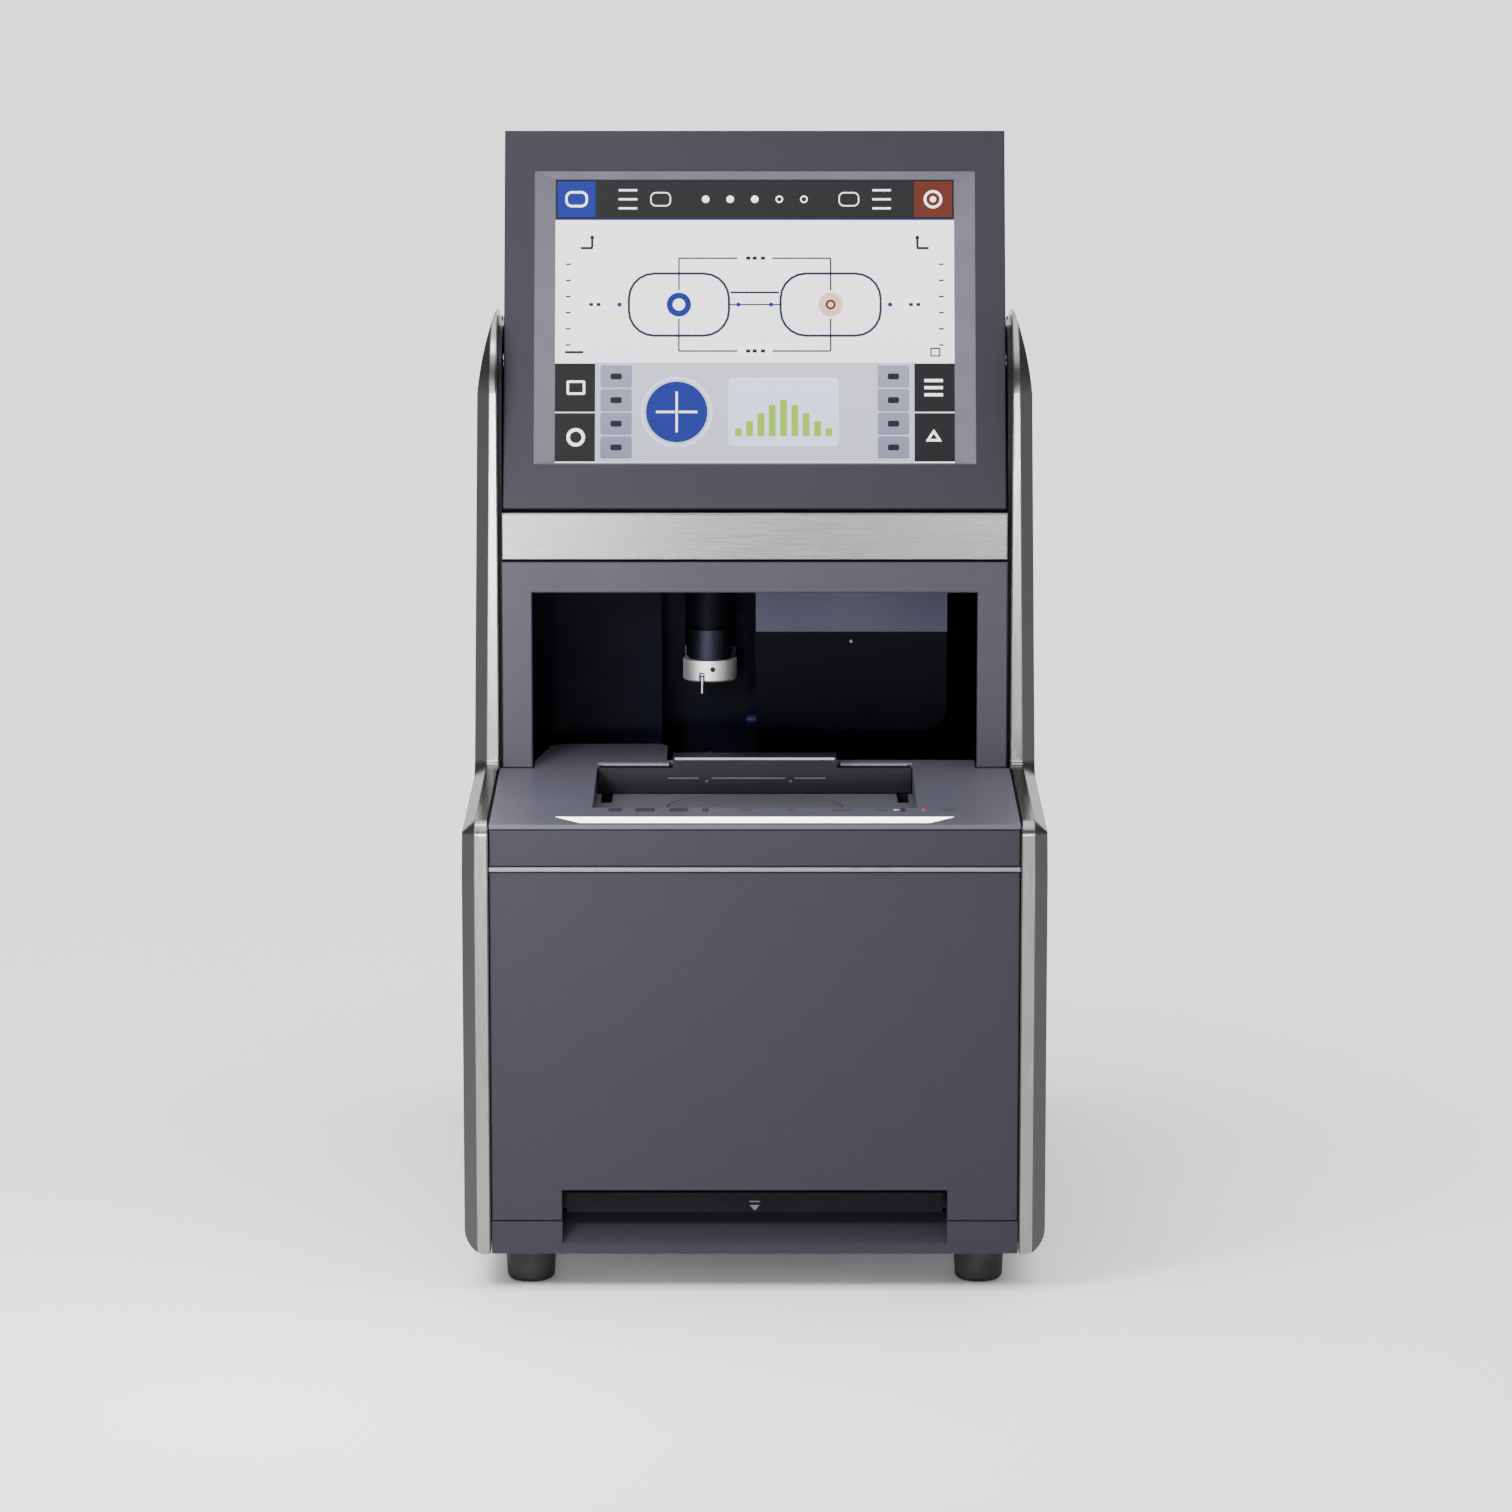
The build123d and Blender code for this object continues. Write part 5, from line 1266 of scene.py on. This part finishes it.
@dataclass
class BlockingHead(Assembly):
    """Blocking head: carriage, housing, chuck, lever and leadscrew.

    Attributes:
        screw_right: Place of the set screw to the right of the head's axis.
        screw_up: Its place above the foot of the chuck.
        screw_radius: Its radius.
        screw_height: Its height.
        thread_radius: Outer radius of the thread.
        thread_root: Radius of its root.
        thread_pitch: Rise of one turn.
        profile_radius: Radius of the three-cornered profile, in pitches.
        profile_wide: Width of the profile, in pitches.
        plain_turns: Turns left plain at the ends of the screw.
        steps: Steps of one turn.
    """

    screw_right: float = 1.5 * MM
    screw_up: float = 6.6 * MM
    screw_radius: float = 1.3 * MM
    screw_height: float = 0.5 * MM
    thread_radius: float = 3.22 * MM
    thread_root: float = 2.9 * MM
    thread_pitch: float = 2.5 * MM
    profile_radius: float = 0.3
    profile_wide: float = 0.52
    plain_turns: int = 2
    steps: int = 24

    finishes = {
        "head_carriage": CARRIAGE_BLACK,
        "head_housing": ANODISED,
        "chuck_ring": CHUCK_METAL,
        "release_lever": GROUND_STEEL,
        "leadscrew": GROUND_STEEL,
    }

    def build(self) -> None:
        """Models the thread of the leadscrew and the set screw of the chuck."""
        self.build_thread()
        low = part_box("chuck_ring")[0]
        middle = (HEAD_AXIS[0] + self.screw_right, low.y + self.screw_height / 2, low.z + self.screw_up)
        place = facing(middle, TO_FRONT)
        pin = model_cylinder("chuck_set_screw", self.screw_radius, self.screw_height, place)
        hand_over(pin, "chuck", SOCKET_BLACK)

    def build_thread(self) -> None:
        """Winds the thread round the leadscrew."""
        low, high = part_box("leadscrew")
        middle = (low + high) / 2
        radius = self.thread_pitch * self.profile_radius
        depth = self.thread_radius - self.thread_root
        narrow = depth / (self.thread_pitch * self.profile_wide)
        deselect_all()
        bpy.ops.mesh.primitive_circle_add(vertices=3, radius=radius, fill_type="NOTHING")
        thread = name_new("screw_thread")
        with editing(thread):
            select_mesh()
            bpy.ops.transform.rotate(value=pi / 2, orient_axis="X", center_override=ORIGIN)
            bpy.ops.transform.resize(value=(narrow, 1.0, 1.0), center_override=ORIGIN)
            bpy.ops.transform.translate(value=(self.thread_root + depth / 2, 0.0, 0.0))
        winding = thread.modifiers.new("winding", "SCREW")
        winding.axis = "Z"
        winding.screw_offset = self.thread_pitch
        winding.iterations = int((high.z - low.z) / self.thread_pitch) - self.plain_turns
        winding.steps = self.steps
        winding.render_steps = self.steps
        winding.use_merge_vertices = False
        apply_modifiers(thread)
        with editing(thread):
            select_mesh()
            bpy.ops.mesh.fill_holes(sides=3)
        close_mesh(thread)
        settle(thread, Matrix.Translation((middle.x, middle.y, low.z + self.thread_pitch)))
        hand_over(thread, "screw", GROUND_STEEL)


@dataclass(frozen=True)
class Tint:
    """One layer of the picture on the screen.

    Attributes:
        name: Name of the layer.
        low: Colour at its foot.
        high: Colour at its head.
        level: Layer above the glass.
        marks: Marks of the layer, from the middle of the screen.
    """

    name: str
    low: Color
    high: Color
    level: int
    marks: Sequence[Mark]


@dataclass
class Monitor(Assembly):
    """Leaned monitor with the picture on its screen.

    Attributes:
        lean: Lean of the monitor from the upright.
        glass_out: Distance of the glass from the hinge.
        screen_low: Foot of the picture, up the glass from the hinge.
        half: Half the width of the picture, in millimetres as all its marks.
        tall: Height of the picture.
        bar: Height of the upper bar, and width of the dark tiles.
        tiles_up: Middles of the dark tiles above the foot of the picture.
        cards_up: Middle of the cards above the foot of the picture.
        card_u: Place of the card with the lens to the left.
        keys_u: Place of the columns of keys to each side.
        keys_v: Places of the keys above and below the middle of the cards.
        lens_u: Place of the lens outlines to each side.
        lens_v: Place of the lens outlines upwards.
        boxes_u: Place of the outer value boxes to each side.
        boxes_v: Places of the middle value boxes upwards.
        glow: Brightness of the picture.
    """

    lean: float = radians(15.5)
    glass_out: float = 11.0 * MM
    screen_low: float = -52.0 * MM
    half: float = 97.3
    tall: float = 140.2
    bar: float = 19.6
    tiles_up: Pair = (12.5, 37.0)
    cards_up: float = 25.0
    card_u: float = -38.0
    keys_u: float = 67.5
    keys_v: tuple[float, ...] = (-17.5, -5.8, 5.8, 17.5)
    lens_u: float = 37.0
    lens_v: float = 8.0
    boxes_u: float = 78.0
    boxes_v: Pair = (-15.0, 31.0)
    glow: float = 2.7

    finishes = {
        "monitor_bezel": MONITOR_PAINT,
        "monitor_surround": SURROUND,
        "display_module": SCREEN_GLASS,
        "monitor_shell": REAR_PAINT,
        "hinge_pins": GROUND_STEEL,
        "hinge_bushes": BRONZE,
    }

    @property
    def foot(self) -> float:
        """Foot of the picture."""
        return -self.tall / 2

    @property
    def head(self) -> float:
        """Middle of the upper bar."""
        return self.tall / 2 - self.bar / 2

    @property
    def cards(self) -> float:
        """Middle of the cards on the grey band."""
        return self.foot + self.cards_up

    @property
    def side(self) -> float:
        """Middle of the coloured tiles at the right."""
        return self.half - 10.2

    def plane(self) -> Matrix:
        """Finds the plane of the glass.

        Returns:
            The place, with its origin in the middle of the picture.
        """
        pivot = next(joint for joint in frame["joints"] if joint["name"] == "monitor_tilt")["pos_m"]
        out = Vector((0.0, -cos(self.lean), sin(self.lean)))
        up = Vector((0.0, sin(self.lean), cos(self.lean)))
        middle = self.screen_low + self.tall * MM / 2
        origin = Vector(pivot) + out * self.glass_out + up * middle
        return facing(origin, out, up)

    def build(self) -> None:
        """Models the layers of the picture."""
        place = self.plane()
        foot, head = ((place @ Vector((0.0, end * self.tall * MM / 2, 0.0))).z for end in (-1.0, 1.0))
        for tint in self.layers():
            name = f"picture_{tint.name}"
            glow = Lit(name, tint.low, tint.high, self.glow, foot, head)
            hand_over(print_marks(name, tint.marks, place, LAYER * tint.level), "monitor", glow)

    def layers(self) -> tuple[Tint, ...]:
        """Gathers the layers of the picture.

        Returns:
            The layers, from the back to the front.
        """
        field = Mark(0.0, 0.0, self.half * 2, self.tall)
        return (
            Tint("field", (0.8, 0.8, 0.86), (0.95, 0.95, 0.97), 1, [field]),
            Tint("bars", (0.001, 0.0014, 0.0022), (0.0035, 0.004, 0.0055), 2, self.draw_bars()),
            Tint("grey", (0.36, 0.37, 0.45), (0.48, 0.49, 0.56), 2, self.draw_band()),
            Tint("tiles", (0.13, 0.14, 0.2), (0.3, 0.31, 0.4), 3, self.draw_keys(15.4, 11.0)),
            Tint("blue", (0.0, 0.008, 0.14), (0.0, 0.008, 0.17), 4, self.draw_blue()),
            Tint("rust", (0.06, 0.007, 0.002), (0.075, 0.008, 0.002), 3, self.draw_rust()),
            Tint("rose", (0.62, 0.36, 0.32), (0.7, 0.42, 0.38), 2, self.draw_rose()),
            Tint("lines", (0.004, 0.007, 0.03), (0.004, 0.007, 0.03), 3, self.draw_lines()),
            Tint("cards", (0.5, 0.52, 0.72), (0.72, 0.76, 0.9), 3, self.draw_cards()),
            Tint("white", (0.95, 0.95, 0.97), (0.98, 0.98, 1.0), 5, self.draw_white()),
            Tint("ink", (0.002, 0.003, 0.01), (0.004, 0.005, 0.01), 6, self.draw_ink()),
            Tint("green", (0.18, 0.36, 0.01), (0.22, 0.4, 0.01), 4, self.draw_curve()),
        )

    def draw_bars(self) -> list[Mark]:
        """Draws the upper bar and the dark tiles.

        Returns:
            The marks.
        """
        side = self.half - self.bar / 2
        tiles = both(*(Mark(side, self.foot + up, self.bar, 24.0) for up in self.tiles_up))
        return [Mark(0.0, self.head, self.half * 2, self.bar), *tiles]

    def draw_band(self) -> list[Mark]:
        """Returns the grey band under the field."""
        return [Mark(0.0, self.foot + 24.8, (self.half - self.bar) * 2, 49.2)]

    def draw_keys(self, wide: float, tall: float) -> list[Mark]:
        """Returns the columns of small tiles at the sides of the grey band, at one size."""
        return both(*(Mark(self.keys_u, self.cards + v, wide, tall, corner=1.0) for v in self.keys_v))

    def draw_blue(self) -> list[Mark]:
        """Draws the blue tile and line, the lens in its card and the markers of the field.

        Returns:
            The marks.
        """
        tile = Mark(-self.side, self.head, 18.6, 17.8)
        line = Mark(0.0, self.tall / 2 - 19.9, self.half * 2, 0.6)
        card = Mark(self.card_u, self.cards, 30.0, 30.0, Shape.DISC)
        aim = Mark(-self.lens_u, self.lens_v, 12.0, 12.0, Shape.DISC, line=3.0)
        dots = [Mark(u, self.lens_v, 2.2, 2.2, Shape.DISC) for u in (-66.0, -8.0, 8.0, 66.0)]
        return [tile, line, card, aim, *dots]

    def draw_rust(self) -> list[Mark]:
        """Returns the rust tile and the aim of the right lens."""
        aim = Mark(self.lens_u, self.lens_v, 5.0, 5.0, Shape.DISC, line=1.1)
        return [Mark(self.side, self.head, 18.6, 17.8), aim]

    def draw_rose(self) -> list[Mark]:
        """Returns the rose disc under the aim of the right lens."""
        return [Mark(self.lens_u, self.lens_v, 12.0, 12.0, Shape.DISC)]

    def draw_lines(self) -> list[Mark]:
        """Draws the lens outlines with their measuring lines.

        Returns:
            The marks.
        """
        lenses = both(Mark(self.lens_u, self.lens_v, 50.0, 32.0, corner=13.0, line=1.2))
        cross = both(*(Mark(self.lens_u, v, 0.8, 16.0) for v in (-7.0, 23.0)))
        spans = [Mark(0.0, v, self.lens_u * 2, 0.8) for v in self.boxes_v]
        bridge = [Mark(0.0, 14.0, 24.0, 1.0), Mark(0.0, self.lens_v, 24.0, 0.7)]
        scale = both(*(Mark(91.0, v, 2.4, 0.8) for v in range(-12, 29, 8)))
        return [*lenses, *cross, *spans, *bridge, *scale]

    def draw_cards(self) -> list[Mark]:
        """Returns the pale card and the ring round the lens on the grey band."""
        ring = Mark(self.card_u, self.cards, 35.0, 35.0, Shape.DISC, line=1.4)
        return [Mark(14.0, self.cards, 54.0, 34.0, corner=3.0), ring]

    def draw_white(self) -> list[Mark]:
        """Draws the white symbols and the value boxes.

        Returns:
            The marks.
        """
        side, head, cards = self.side, self.head, self.cards
        lower, upper = (self.foot + up for up in self.tiles_up)
        symbols = [
            Mark(-side, head, 11.0, 8.0, corner=3.2, line=1.1),
            Mark(side, head, 9.0, 9.0, Shape.DISC, line=1.2),
            Mark(side, head, 3.0, 3.0, Shape.DISC),
            Mark(-side, lower, 9.0, 9.0, Shape.DISC, line=1.6),
            Mark(-side, upper, 9.0, 7.0, corner=0.8, line=1.1),
            Mark(side, lower, 9.0, 8.0, Shape.WEDGE, line=1.1),
            *(Mark(side, upper + v, 9.0, 1.4) for v in (-3.5, 0.0, 3.5)),
            Mark(self.card_u, cards, 1.0, 20.0),
            *(Mark(self.card_u + u, cards, 9.0, 1.0) for u in (-5.5, 5.5)),
        ]
        boxes = [Mark(0.0, v, 17.0, 5.4, corner=0.6) for v in self.boxes_v]
        boxes += both(Mark(self.boxes_u, self.lens_v, 15.0, 5.4, corner=0.6))
        steps = [Mark(u, head, 3.6, 3.6, Shape.DISC) for u in (-24.0, -12.0, 0.0)]
        steps += [Mark(u, head, 3.6, 3.6, Shape.DISC, line=0.6) for u in (12.0, 24.0)]
        notes = both(*(Mark(62.0, head + v, 9.0, 0.9) for v in (-4.5, 0.0, 4.5)))
        glyphs = both(Mark(46.0, head, 10.0, 7.0, corner=2.6, line=0.5))
        return [*symbols, *boxes, *steps, *notes, *glyphs]

    def draw_ink(self) -> list[Mark]:
        """Draws the dark values in the boxes and the small signs of the field.

        Returns:
            The marks.
        """
        values = [Mark(u, v, 2.2, 1.7) for v in self.boxes_v for u in (-3.2, 0.0, 4.0)]
        values += both(*(Mark(self.boxes_u + u, self.lens_v, 2.0, 1.6) for u in (-1.8, 1.8)))
        signs = both(
            Mark(82.0, 36.0, 6.0, 1.2),
            Mark(79.4, 38.6, 1.2, 4.6),
            Mark(79.4, 41.2, 2.0, 2.0, Shape.DISC),
        )
        signs += [Mark(-88.0, -15.6, 9.0, 1.2), Mark(88.0, -15.6, 5.0, 4.4, corner=0.6, line=0.7)]
        return [*values, *signs, *self.draw_keys(5.6, 3.0)]

    def draw_curve(self) -> list[Mark]:
        """Draws the thickness curve on the pale card.

        Returns:
            The marks.
        """
        first, pitch, foot = -8.0, 5.5, self.cards - 12.0
        heights = (4.0, 7.5, 11.5, 15.5, 18.0, 15.5, 11.5, 7.5, 4.0)
        return [
            Mark(first + pitch * place, foot + tall / 2, 3.4, tall, corner=0.6)
            for place, tall in enumerate(heights)
        ]


@dataclass
class Electronics(Assembly):
    """Power supply, main board, fan and the row of rear connectors.

    Attributes:
        ports_u: Middle of the row of ports, to the left seen from behind, in millimetres.
        ports_wide: Width of the row, in millimetres.
        ports_tall: Height of the row, in millimetres.
        ports_z: Height of the row's middle.
        ports_sink: Depth at which the shells start.
        port_widths: Widths of the ports, in millimetres.
        shell_deep: Depth of a port's shell.
        tongue_deep: Depth of the tongue in it.
        rocker_tilt: Lean of the rocker's face from the upright.
        signs_sink: Distance of the signs from the rocker's rearmost edge.
        signs: On and off signs of the rocker.
        board_up: Height of the chips and capacitors above the lowest point of the board.
        chips: Chips of the board.
        chip_rise: Height of a chip.
        can_radius: Radius of a capacitor.
        can_tall: Height of a capacitor.
        can_columns: Places of the capacitors along X, in millimetres.
        can_rows: Their places along Y, in millimetres.
    """

    ports_u: float = 55.0
    ports_wide: float = 84.0
    ports_tall: float = 26.0
    ports_z: float = 70.5 * MM
    ports_sink: float = 2.8 * MM
    port_widths: tuple[float, ...] = (11.2, 8.4, 5.6, 5.6, 9.8)
    shell_deep: float = 2.6 * MM
    tongue_deep: float = 2.0 * MM
    rocker_tilt: float = radians(8)
    signs_sink: float = 0.35 * MM
    signs: tuple[Mark, ...] = (
        Mark(0.0, 4.2, 0.7, 3.0),
        Mark(0.0, -4.2, 3.0, 3.0, Shape.DISC, line=0.5),
    )
    board_up: float = 9.6 * MM
    chips: tuple[Mark, ...] = (
        *(Mark(u, v, 12.0, 12.0, corner=0.4) for u in (24.0, 44.0) for v in (70.0, 150.0, 172.0)),
        *(Mark(u, 60.0, 9.0, 5.0) for u in (60.0, 74.0, 88.0, 100.0)),
    )
    chip_rise: float = 1.6 * MM
    can_radius: float = 4.0 * MM
    can_tall: float = 11.0 * MM
    can_columns: Pair = (84.0, 96.0)
    can_rows: tuple[float, ...] = (100.0, 112.0, 124.0, 150.0)

    finishes = {
        "power_supply": MOTOR_PAINT,
        "main_board": BOARD,
        "rear_connectors": SOCKET_BLACK,
        "power_rocker": JAW_BLACK,
        "fan_frame": SOCKET_BLACK,
        "fan_rotor": SOCKET_BLACK,
    }

    def build(self) -> None:
        """Models the parts of the board, the port shells and the signs of the rocker."""
        self.build_ports()
        self.build_signs()
        self.build_board()

    def build_ports(self) -> None:
        """Models the metal shells of the ports and the tongues in them."""
        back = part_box("rear_connectors")[1].y
        place = facing((0.0, back - self.ports_sink, self.ports_z), TO_BACK)
        pitch = self.ports_wide / (len(self.port_widths) + 1)
        shells = []
        tongues = []
        for index, wide in enumerate(self.port_widths):
            u = -(self.ports_u - self.ports_wide / 2 + pitch * (index + 1))
            shells.append(Mark(u, 0.0, wide - 0.4, self.ports_tall / 2 - 0.4, corner=0.8, line=0.5))
            tongues.append(Mark(u, 1.0, wide - 3.4, 1.6))
        shell = print_marks("port_shells", shells, place, self.shell_deep)
        hand_over(shell, "machine", GROUND_STEEL)
        tongue = print_marks("port_tongues", tongues, place, self.tongue_deep)
        hand_over(tongue, "machine", JAW_BLACK)

    def build_signs(self) -> None:
        """Prints the on and off signs on the rocker."""
        low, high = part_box("power_rocker")
        middle = (low + high) / 2
        out = Vector((0.0, cos(self.rocker_tilt), -sin(self.rocker_tilt)))
        origin = Vector((middle.x, high.y, middle.z)) - out * self.signs_sink
        hand_over(print_marks("switch_signs", self.signs, facing(origin, out)), "rocker", IVORY_SIGN)

    def build_board(self) -> None:
        """Models the chips and capacitors of the main board."""
        place = Matrix.Translation((0.0, 0.0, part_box("main_board")[0].z + self.board_up))
        chips = print_marks("board_chips", self.chips, place, self.chip_rise)
        hand_over(chips, "machine", SOCKET_BLACK)
        spots = [Matrix.Translation((x * MM, y * MM, 0.0)) for x in self.can_columns for y in self.can_rows]
        cans = [model_cylinder("capacitor", self.can_radius, self.can_tall, place @ spot) for spot in spots]
        hand_over(join(cans, "board_capacitors"), "machine", CASTING)


@dataclass(frozen=True)
class SoftLight:
    """Soft light with a flat window.

    Attributes:
        name: Name of the light.
        place: Where it hangs.
        aim: Point that it faces.
        size: Width and height of its window.
        power: Power in watts.
    """

    name: str
    place: Triple
    aim: Triple
    size: Pair
    power: float

    def hang(self) -> None:
        """Hangs the light."""
        deselect_all()
        bpy.ops.object.light_add(type="AREA", location=self.place)
        lamp = name_new(self.name)
        lamp.data.shape = "RECTANGLE"
        lamp.data.size, lamp.data.size_y = self.size
        lamp.data.energy = self.power
        lamp.visible_camera = False
        lamp.rotation_euler = (Vector(self.aim) - Vector(self.place)).to_track_quat("-Z", "Y").to_euler()


@dataclass
class Studio:
    """Pale floor, soft lights, the room's own light and the camera.

    Attributes:
        distance: Distance of the camera from its target.
        elevation: Angle at which the camera looks down.
        target: Point that the camera faces.
        focal: Focal length, in millimetres.
        sensor: Width of the sensor, in millimetres.
        floor_side: Side of the floor.
        overhead: Range of the upward direction in which the light rises, then its two strengths.
        backdrop: The same for the direction to the back.
        lights: The soft lights.
    """

    distance: float = 2.8
    elevation: float = radians(9.0)
    target: Triple = (0.6 * MM, 0.0, 0.2213)
    focal: float = 131.2
    sensor: float = 36.0
    floor_side: float = 240.0
    overhead: tuple[float, ...] = (0.5, 0.9, 0.3, 3.6)
    backdrop: tuple[float, ...] = (0.7, 0.95, 0.0, 2.6)
    lights: tuple[SoftLight, ...] = (
        SoftLight("key_window", (-0.28, -0.52, 0.42), (-0.08, -0.2275, 0.2), (0.14, 0.14), 3.0),
        SoftLight("head_window", (-0.12, -0.34, 0.95), (0.0, 0.0, 0.54), (0.2, 0.2), 1.4),
        SoftLight("band_window", (-0.3, -1.5, 0.19), (-0.1, 0.0, 0.36), (0.2, 0.06), 3.6),
        SoftLight("left_window", (-1.3, -0.7, 1.9), (0.0, -0.1, 0.3), (1.0, 1.0), 1.6),
        SoftLight("edge_window", (-0.2, -1.5, 0.255), (-0.13, 0.0, 0.39), (0.05, 0.06), 2.6),
        SoftLight("edge_window", (0.2, -1.5, 0.255), (0.13, 0.0, 0.39), (0.05, 0.06), 1.8),
    )

    def build(self) -> None:
        """Sets up the whole studio."""
        self.floor()
        for light in self.lights:
            light.hang()
        self.room()
        self.camera()

    def floor(self) -> None:
        """Lays the floor."""
        deselect_all()
        bpy.ops.mesh.primitive_plane_add(size=self.floor_side, location=ORIGIN)
        floor = name_new("studio_floor")
        dress(floor, FLOOR_WHITE)

    def room(self) -> None:
        """Sets the room's own light: bright overhead, a bright backdrop, dim elsewhere."""
        world = bpy.data.worlds.new("studio_room")
        bpy.context.scene.world = world
        world.use_nodes = True
        tree = world.node_tree
        glow = tree.nodes["Background"]
        sight = tree.nodes.new("ShaderNodeTexCoord")
        split = add_node(tree, "SeparateXYZ", {}, sight.outputs["Generated"])
        total = tree.nodes.new("ShaderNodeMath")
        for place, (axis, limits) in enumerate((("Z", self.overhead), ("Y", self.backdrop))):
            tree.links.new(ranged(tree, split.outputs[axis], *limits), total.inputs[place])
        tree.links.new(total.outputs["Value"], glow.inputs["Strength"])
        glow.inputs["Color"].default_value = (*WHITE, 1.0)

    def camera(self) -> None:
        """Sets up the camera of the reference view."""
        back = Vector((0.0, -cos(self.elevation), sin(self.elevation)))
        deselect_all()
        bpy.ops.object.camera_add(location=Vector(self.target) + back * self.distance)
        camera = bpy.context.object
        camera.data.sensor_width = self.sensor
        camera.data.lens = self.focal
        camera.rotation_euler = (-back).to_track_quat("-Z", "Y").to_euler()
        bpy.context.scene.camera = camera


def main() -> None:
    """Builds and dresses the machine, then the studio."""
    logging.basicConfig(level=logging.INFO, format="%(name)s: %(message)s")
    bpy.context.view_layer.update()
    for kind in (Casing, Deck, Drawer, Tracer, BlockingBay, BlockingHead, Monitor, Electronics):
        part = kind()
        part.dress()
        part.build()
        LOG.info("%s done", kind.__name__)
    Studio().build()


if __name__ == "__main__":
    main()
